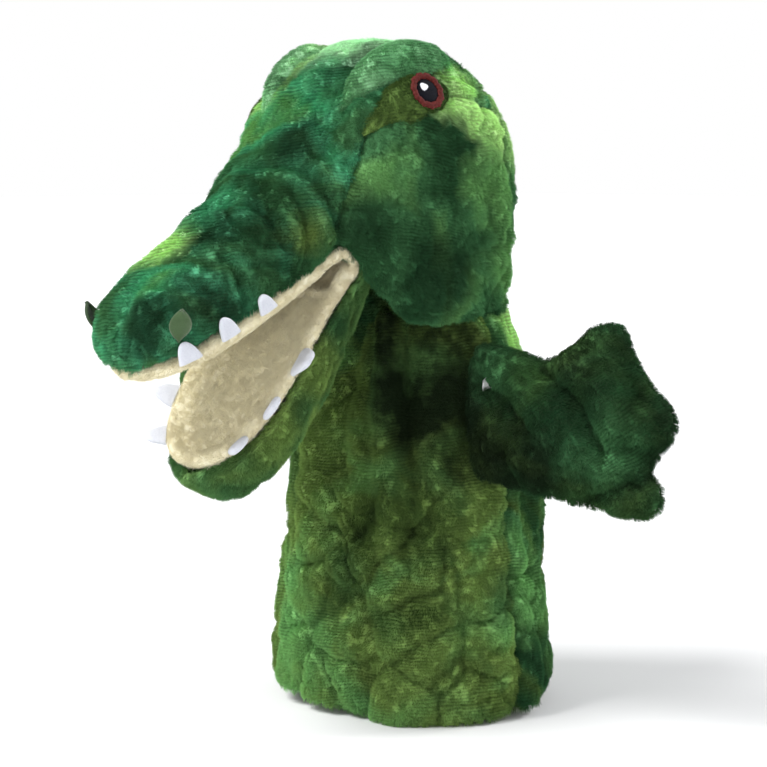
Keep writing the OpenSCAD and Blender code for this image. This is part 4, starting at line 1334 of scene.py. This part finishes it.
def make_body():
    neck_at = JOINT_AT["head_turn"] * MM
    bend = ("body", "neck", neck_at - np.array([0, 0, 0.045]), neck_at - np.array([0, 0, 0.008]))
    for name, turns, node, look, seed in (("body_front", (180, 360), "body_front_panel", "body", 51),
                                          ("body_back", (0, 180), "body_back_panel", "back", 52)):
        mesh, dark = body_mesh(*turns)
        skin(name, None, mesh, MAT[look], [node],
             lean=(0, 0, -0.55), blend=bend, seed=seed, thickness=1.3, crease_shade=dark)
    make_neck()
    make_hem()


NECK_LOW = 152.0
NECK_HIGH = 188.0


def make_neck():
    """The sleeve between the body's top and the inside of the head."""
    z = np.linspace(NECK_LOW, NECK_HIGH, 26)[:, None]
    turn = np.linspace(0, 2 * math.pi, 130)[:-1][None, :]
    share = (z - NECK_LOW) / (NECK_HIGH - NECK_LOW)
    wide = 38.5 - 3.5 * share
    deep = np.where(np.sin(turn) < 0, 36 - 4 * share, 42 - 5 * share)
    p = np.stack([wide * np.cos(turn), deep * np.sin(turn), z + 0 * turn], axis=-1)
    mesh = grid(p, wrap=True)
    mesh = outward(mesh, mesh[0] * np.array([0, 0, 1.0]))
    wave = 1.3 * noise(mesh[0], 20, 93, (0.7, 0.7, 1.6)) + 0.6 * noise(mesh[0], 9, 94)
    mesh = dented(mesh, wave)
    nod = JOINT_AT["head_nod"] * MM
    bend = ("neck", "head", nod - np.array([0, 0, 0.018]), nod + np.array([0, 0, 0.006]))
    skin("neck_plush", None, mesh, MAT["back"], ["neck_sleeve"],
         blend=bend, seed=53, pile_mm=1.6)


def make_hem():
    """The turned-up allowance inside the hand opening, and a plain care label in the side seam."""
    f = np.linspace(0.004, 0.115, 16)[:, None]
    turn = np.linspace(0, 2 * math.pi, 300)[:-1][None, :]
    p = body_point(f + 0 * turn, turn + 0 * f)
    mesh = outward(grid(p, wrap=True), np.array([0, 0, 10.0]))
    folds, _ = body_folds(mesh[0], (f + 0 * turn).ravel(), (turn + 0 * f).ravel())
    mesh = dented(mesh, folds - PILE_INSET - 3.4)
    skin("hem_allowance", "body", mesh, MAT["hem"], ["hem_facing"],
         pile_mm=0, thickness=0.8)
    low, high = box_mm("care_label")
    u = np.linspace(0, 1, 24)[:, None]
    v = np.linspace(0, 1, 14)[None, :]
    y = low[1] + (high[1] - low[1]) * v + 0 * u
    z = high[2] - (high[2] - low[2]) * u + 0 * v
    x = low[0] + 0.9 * np.sin(3 * u) - 1.2 * u * u + 0.4 * np.sin(4 * v + 2 * u)
    mesh = grid(np.stack([x, y, z], axis=-1))
    label = add_piece("care_label_cloth", thickened(mesh, 0.35), MAT["label"])
    declare(label, "body", None, ["care_label"])


# ---------------------------------------------------------------- arms

# Outline of an arm and paw: share of the reach, height above the shoulder's middle.
ARM_OUTLINE = [
    [-0.01, -24], [-0.055, -12], [-0.07, 2], [-0.06, 16], [-0.02, 27],
    [0.16, 28.5], [0.34, 28], [0.48, 33], [0.62, 39.5], [0.735, 38.5],
    [0.79, 30], [0.86, 21], [0.93, 13], [0.99, 7], [1.0, -2],
    [0.94, -11], [0.90, -18], [0.94, -27], [0.90, -35], [0.78, -37],
    [0.62, -35.5], [0.46, -33.5], [0.30, -31], [0.14, -28]]


def arm_layers(step):
    """One face of an arm, flat, as (points, triangles, which points lie on its rim)."""
    outline = smooth_line([[a * ARM_REACH, h] for a, h in ARM_OUTLINE], step, closed=True)
    low, high = outline.min(0), outline.max(0)
    heights = np.arange(low[1], high[1], step * 0.87)
    ys, xs = np.meshgrid(heights, np.arange(low[0], high[0], step), indexing="ij")
    xs = xs + step * 0.5 * (np.arange(ys.shape[0]) % 2)[:, None]
    inside = np.stack([xs.ravel(), ys.ravel()], axis=1)
    inside = inside[distance_to(inside, dense(outline, 1.0)) > step * 0.6]
    points = [Vector(p) for p in np.concatenate([outline, inside]).tolist()]
    n = len(outline)
    edges = [(k, (k + 1) % n) for k in range(n)]
    verts, _, faces, _, _, _ = delaunay_2d_cdt(points, edges, [], 1, 1e-4)
    flat = np.array([list(v) for v in verts])
    faces = np.array([f for f in faces if len(f) == 3])
    on_rim = distance_to(flat, outline) < 1e-3
    return flat, faces, on_rim


def inflated(flat, faces, on_rim):
    """Blows the two layers up against each other, so that the cloth puckers along its seam."""
    n = len(flat)
    edge = distance_to(flat, flat[on_rim])
    full = ARM_HALF_T - PILE_INSET
    dome = full * np.sqrt(np.clip(1 - (1 - np.clip(edge / 24, 0, 1)) ** 2.4, 0, 1))
    start = 0.35 * dome
    back = np.where(on_rim, np.arange(n), np.arange(n) + n)
    front = np.stack([flat[:, 0], -start, flat[:, 1]], axis=1)
    rear = np.stack([flat[:, 0], start, flat[:, 1]], axis=1)
    points = np.concatenate([front, rear])
    both = np.concatenate([faces, back[faces][:, ::-1]])
    used, inverse = np.unique(both, return_inverse=True)
    points, both = points[used], inverse.reshape(both.shape)
    points = simulate(points, both)
    return points, both, len(faces)


CLOTH_SCALE = 0.01      # simulated ten times as large as life, where the cloth settles steadily
CLOTH_FRAMES = 32


def simulate(points, faces):
    """Cloth with air inside, held near its flat outline; no point stands out further than the arm."""
    data = bpy.data.meshes.new("arm_trial")
    data.from_pydata((points * CLOTH_SCALE).tolist(), [], faces.tolist())
    ob = bpy.data.objects.new("arm_trial", data)
    bpy.context.scene.collection.objects.link(ob)
    cloth = ob.modifiers.new("cloth", "CLOTH")
    s = cloth.settings
    s.quality = 6
    s.mass = 0.3
    s.tension_stiffness = 40
    s.compression_stiffness = 40
    s.shear_stiffness = 12
    s.bending_stiffness = 0.3
    s.use_pressure = True
    s.uniform_pressure_force = 9
    s.effector_weights.gravity = 0
    scene = bpy.context.scene
    scene.frame_start, scene.frame_end = 1, 40
    for k in range(CLOTH_FRAMES):
        scene.frame_set(k + 1)
    evaluated = ob.evaluated_get(bpy.context.evaluated_depsgraph_get())
    result = np.zeros(len(points) * 3)
    evaluated.data.vertices.foreach_get("co", result)
    scene.frame_set(1)
    bpy.data.objects.remove(ob)
    result = result.reshape(-1, 3) / CLOTH_SCALE
    outline, shrunk = points[:, [0, 2]], result[:, [0, 2]]
    regrown = (shrunk - shrunk.min(0)) * np.ptp(outline, axis=0) / np.ptp(shrunk, axis=0) + outline.min(0)
    result[:, [0, 2]] = 0.35 * regrown + 0.65 * outline
    full = ARM_HALF_T - PILE_INSET
    result[:, 1] = full * np.tanh(result[:, 1] / full)
    return result


def subdivided(points, triangles, levels):
    """Smooth subdivision of a closed mesh; each triangle becomes quads in order."""
    data = bpy.data.meshes.new("arm_fine")
    data.from_pydata(points.tolist(), [], triangles.tolist())
    ob = bpy.data.objects.new("arm_fine", data)
    bpy.context.scene.collection.objects.link(ob)
    fine = ob.modifiers.new("fine", "SUBSURF")
    fine.levels = levels
    evaluated = ob.evaluated_get(bpy.context.evaluated_depsgraph_get())
    mesh = evaluated.to_mesh()
    out = np.zeros(len(mesh.vertices) * 3)
    mesh.vertices.foreach_get("co", out)
    faces = np.zeros(len(mesh.loops), int)
    mesh.loops.foreach_get("vertex_index", faces)
    evaluated.to_mesh_clear()
    bpy.data.objects.remove(ob)
    return out.reshape(-1, 3), faces.reshape(-1, 4)


# Folds of the arm's front: points as (along, height), depth, width.
ARM_FOLDS = [
    ([[30, 23], [41, 14], [49, 7], [53, -2], [57, -10]], -6.0, 4.2),
    ([[37, 25], [50, 20], [60, 10], [64, -2]], 2.6, 5.5),
    ([[4, 13], [15, 4], [23, -3], [27, -10]], -4.2, 4.2),
    ([[8, 20], [22, 13], [32, 3], [36, -8]], 2.0, 5.0),
    ([[14, -14], [16, -24], [20, -32]], -2.6, 3.0),
    ([[10, -10], [11, -22]], 1.6, 4.0),
    ([[28, -33], [30, -27]], -2.2, 3.2),
    ([[44, -36], [54, -31], [63, -26], [70, -22]], -5.0, 3.6),
    ([[2, 26], [3, 20], [1, 12]], -1.6, 3.0),
    ([[66, 30], [70, 20], [74, 12]], -2.4, 4.0),
    ([[60, -4], [70, -8], [78, -14]], -1.8, 4.0)]


def arm_folds(p, front):
    """How far an arm's skin stands in or out at each point, and the painted shade of its folds."""
    flat = p[:, [0, 2]]
    out, dark = np.zeros(len(p)), np.zeros(len(p))
    for line, depth, width in ARM_FOLDS if front else ARM_FOLDS[::2]:
        out += fold(flat, smooth_line(line), depth if front else 0.6 * depth, width)
        # painted shade along the folds that sink in
        if depth < 0:
            dark += fold(flat, smooth_line(line), min(-0.15 * depth, 0.65), 0.8 * width)
    return out, dark


ARM_BASE = None


def arm_base():
    """The blown-up arm, worked out once and used for both sides."""
    global ARM_BASE
    if ARM_BASE is None:
        flat, faces, on_rim = arm_layers(3.2)
        points, both, first_back = inflated(flat, faces, on_rim)
        fine, quads = subdivided(points, both, 2)
        per = len(quads) // len(both)
        ARM_BASE = fine, quads, first_back * per
    return ARM_BASE


def at_shoulder(points, side):
    """Moves points from an arm's own frame to its place on the body."""
    mirror = np.array([side, 1, 1])
    return turned(points * mirror, "Z", ARM_TURN[side]) + SHOULDER * mirror


def arm_face(side, front):
    """One face of an arm in its place, and the painted shade of its hollows."""
    points, quads, split = arm_base()
    chosen = quads[:split] if front else quads[split:]
    used, inverse = np.unique(chosen, return_inverse=True)
    mesh = points[used], inverse.reshape(chosen.shape)
    mesh = outward(mesh, mesh[0] * np.array([1, 0, 1.0]) + np.array([0, 6.0 if front else -6.0, 0]))
    p = mesh[0]
    a, b = rim_edges(mesh[1])
    rim = distance_to(p, p[np.unique(np.concatenate([a, b]))])
    shift = 100 * side
    depth, dark = arm_folds(p, front)
    depth = depth * ramp(rim, 0, 7)
    depth += (1.3 * noise(p + shift, 15, 95) + 0.7 * noise(p + shift, 7, 96)) * ramp(rim, 0, 5)
    large, crease = cells(p + shift, 21, 97, 2.4, 1.0)
    depth += 1.4 * large * ramp(rim, 2, 8)
    mesh = dented(mesh, depth)
    return (at_shoulder(mesh[0], side), mesh[1]), dark + 0.3 * crease


def make_arms():
    """Both arms: a front and a back face for each, set at its shoulder."""
    for side, name in ((1, "left"), (-1, "right")):
        place = SHOULDER * np.array([side, 1, 1])
        way = np.array([side * math.cos(ARM_TURN[side]), side * math.sin(ARM_TURN[side]), 0])
        bend = ("body", f"{name}_arm", (place - 6 * way) * MM, (place + 14 * way) * MM)
        for front, part in ((True, "front"), (False, "back_face")):
            mesh, dark = arm_face(side, front)
            mesh = outward(mesh, place + 40 * way + np.array([0, 12 if front else -12, 0]))
            skin(f"{name}_arm_{part}_skin", None, mesh, MAT["arm"], [f"{name}_arm_{part}"],
                 blend=bend, seed=61 + side + front, pile_mm=1.8,
                 lean=(side * 0.5, 0, -0.35), thickness=1.0, crease_shade=dark)


# ---------------------------------------------------------------- inside


# node, body, look, height of its lumps, how far it lies inside its plain solid
SOFT_INSIDE = [
    ("finger_pocket", "head", "pocket", 0.25, 0.0), ("thumb_pocket", "lower_jaw", "pocket", 0.25, 0.0),
    ("crown_stuffing", "head", "fill", 1.2, 4.0), ("snout_stuffing", "head", "fill", 1.0, 1.5),
    ("jaw_stuffing", "lower_jaw", "fill", 0.8, 1.5), ("left_arm_stuffing", "left_arm", "fill", 0.7, 8.0),
    ("right_arm_stuffing", "right_arm", "fill", 0.7, 8.0)]
INSIDE_VOXEL = {"pocket": 0.0011, "fill": 0.0022}


def arm_filling(node):
    """The blown-up arm again, for the stuffing to follow."""
    side = 1 if "left" in node else -1
    points, quads, _ = arm_base()
    middle = at_shoulder(np.array([[40.0, 0, 0]]), side)
    return add_piece(f"{node}_soft", outward((at_shoulder(points, side), quads), middle), MAT["fill"])


def plain_copy(node):
    ob = bpy.data.objects.new(f"{node}_soft", frame["nodes"][node].data.copy())
    bpy.context.scene.collection.objects.link(ob)
    return ob


def roughened(ob, material, voxel, lump, inset, seed):
    """Remeshes a solid finely and gives it an uneven, slightly shrunken surface."""
    ob.data.materials.clear()
    ob.data.materials.append(material)
    grain = ob.modifiers.new("grain", "REMESH")
    grain.mode = "VOXEL"
    grain.voxel_size = voxel
    data = bpy.data.meshes.new_from_object(ob.evaluated_get(bpy.context.evaluated_depsgraph_get()))
    ob.modifiers.clear()
    ob.data = data
    points = np.zeros(len(data.vertices) * 3)
    ways = np.zeros(len(data.vertices) * 3)
    data.vertices.foreach_get("co", points)
    data.vertices.foreach_get("normal", ways)
    points, ways = points.reshape(-1, 3) / MM, ways.reshape(-1, 3)
    out = lump * (noise(points, 9, 101 + seed) + 0.5 * noise(points, 4, 111 + seed)) - lump - inset
    data.vertices.foreach_set("co", ((points + ways * out[:, None]) * MM).ravel())
    data.polygons.foreach_set("use_smooth", [True] * len(data.polygons))
    if not data.materials:
        data.materials.append(material)


def make_inside():
    """Boards, pockets and wadding, which show only when the puppet is taken apart."""
    for node in ("upper_board", "lower_board"):
        frame["nodes"][node].data.materials.clear()
        frame["nodes"][node].data.materials.append(MAT["board"])
    for k, (node, body, look, lump, inset) in enumerate(SOFT_INSIDE):
        ob = arm_filling(node) if "arm" in node else plain_copy(node)
        roughened(ob, MAT[look], INSIDE_VOXEL[look], lump, inset, k)
        declare(ob, body, None, [node])


# ---------------------------------------------------------------- stage


FLOOR_HALF = 12.0       # metres
FLOOR_Z = -0.0006
CAMERA_AIM = Vector((0, 0, 0.136))
CAMERA_AZIMUTH = math.radians(45)
CAMERA_ELEVATION = math.radians(6)
CAMERA_DISTANCE = 0.9
# name, direction it shines from, spread in degrees, strength
SUNS = (("key_sun", (-0.30, -0.62, 0.85), 28, 3.2), ("rim_sun", (0.30, 0.75, 0.60), 22, 1.6))


def make_floor():
    line = np.linspace(-FLOOR_HALF, FLOOR_HALF, 41)
    x, y = np.meshgrid(line, line, indexing="ij")
    points = np.stack([x, y, np.full_like(x, FLOOR_Z)], axis=-1) / MM
    m = Looks("pale_floor", roughness=0.8)
    tone = m.colours(m.noise(0.4, detail=2), [(0.0, (0.90, 0.90, 0.90)), (1.0, (0.93, 0.93, 0.93))])
    add_piece("floor", flipped(grid(points)), m.finish(tone))


def make_world():
    """A studio that is white round the horizon and darker overhead."""
    world = bpy.data.worlds.new("studio")
    bpy.context.scene.world = world
    world.use_nodes = True
    tree = world.node_tree
    height = tree.nodes.new("ShaderNodeSeparateXYZ")
    tree.links.new(tree.nodes.new("ShaderNodeTexCoord").outputs["Generated"], height.inputs["Vector"])
    sky = tree.nodes.new("ShaderNodeValToRGB")
    tones = ((0.30, (1.0, 1.0, 1.0)), (0.75, (0.30, 0.31, 0.33)))
    for element, (at, colour) in zip(sky.color_ramp.elements, tones):
        element.position = at
        element.color = (*colour, 1)
    tree.links.new(height.outputs["Z"], sky.inputs["Fac"])
    tree.links.new(sky.outputs["Color"], tree.nodes["Background"].inputs["Color"])
    tree.nodes["Background"].inputs["Strength"].default_value = 1.0


def make_suns():
    for name, place, spread, strength in SUNS:
        lamp = bpy.data.lights.new(name, "SUN")
        lamp.angle = math.radians(spread)
        lamp.energy = strength
        ob = bpy.data.objects.new(name, lamp)
        ob.rotation_euler = (-Vector(place)).to_track_quat("-Z", "Y").to_euler()
        bpy.context.scene.collection.objects.link(ob)


def make_camera():
    level = math.cos(CAMERA_ELEVATION)
    back = Vector((math.sin(CAMERA_AZIMUTH) * level, -math.cos(CAMERA_AZIMUTH) * level,
                   math.sin(CAMERA_ELEVATION)))
    data = bpy.data.cameras.new("camera")
    data.sensor_width = 36
    data.lens = 97.2
    data.shift_x = -0.037
    camera = bpy.data.objects.new("camera", data)
    camera.location = CAMERA_AIM + back * CAMERA_DISTANCE
    camera.rotation_euler = (-back).to_track_quat("-Z", "Y").to_euler()
    bpy.context.scene.collection.objects.link(camera)
    bpy.context.scene.camera = camera


make_floor()
make_world()
make_suns()
make_camera()
bpy.context.scene.view_settings.view_transform = "Standard"
make_head()
make_mouth()
make_teeth()
make_jaw()
make_body()
make_arms()
make_inside()
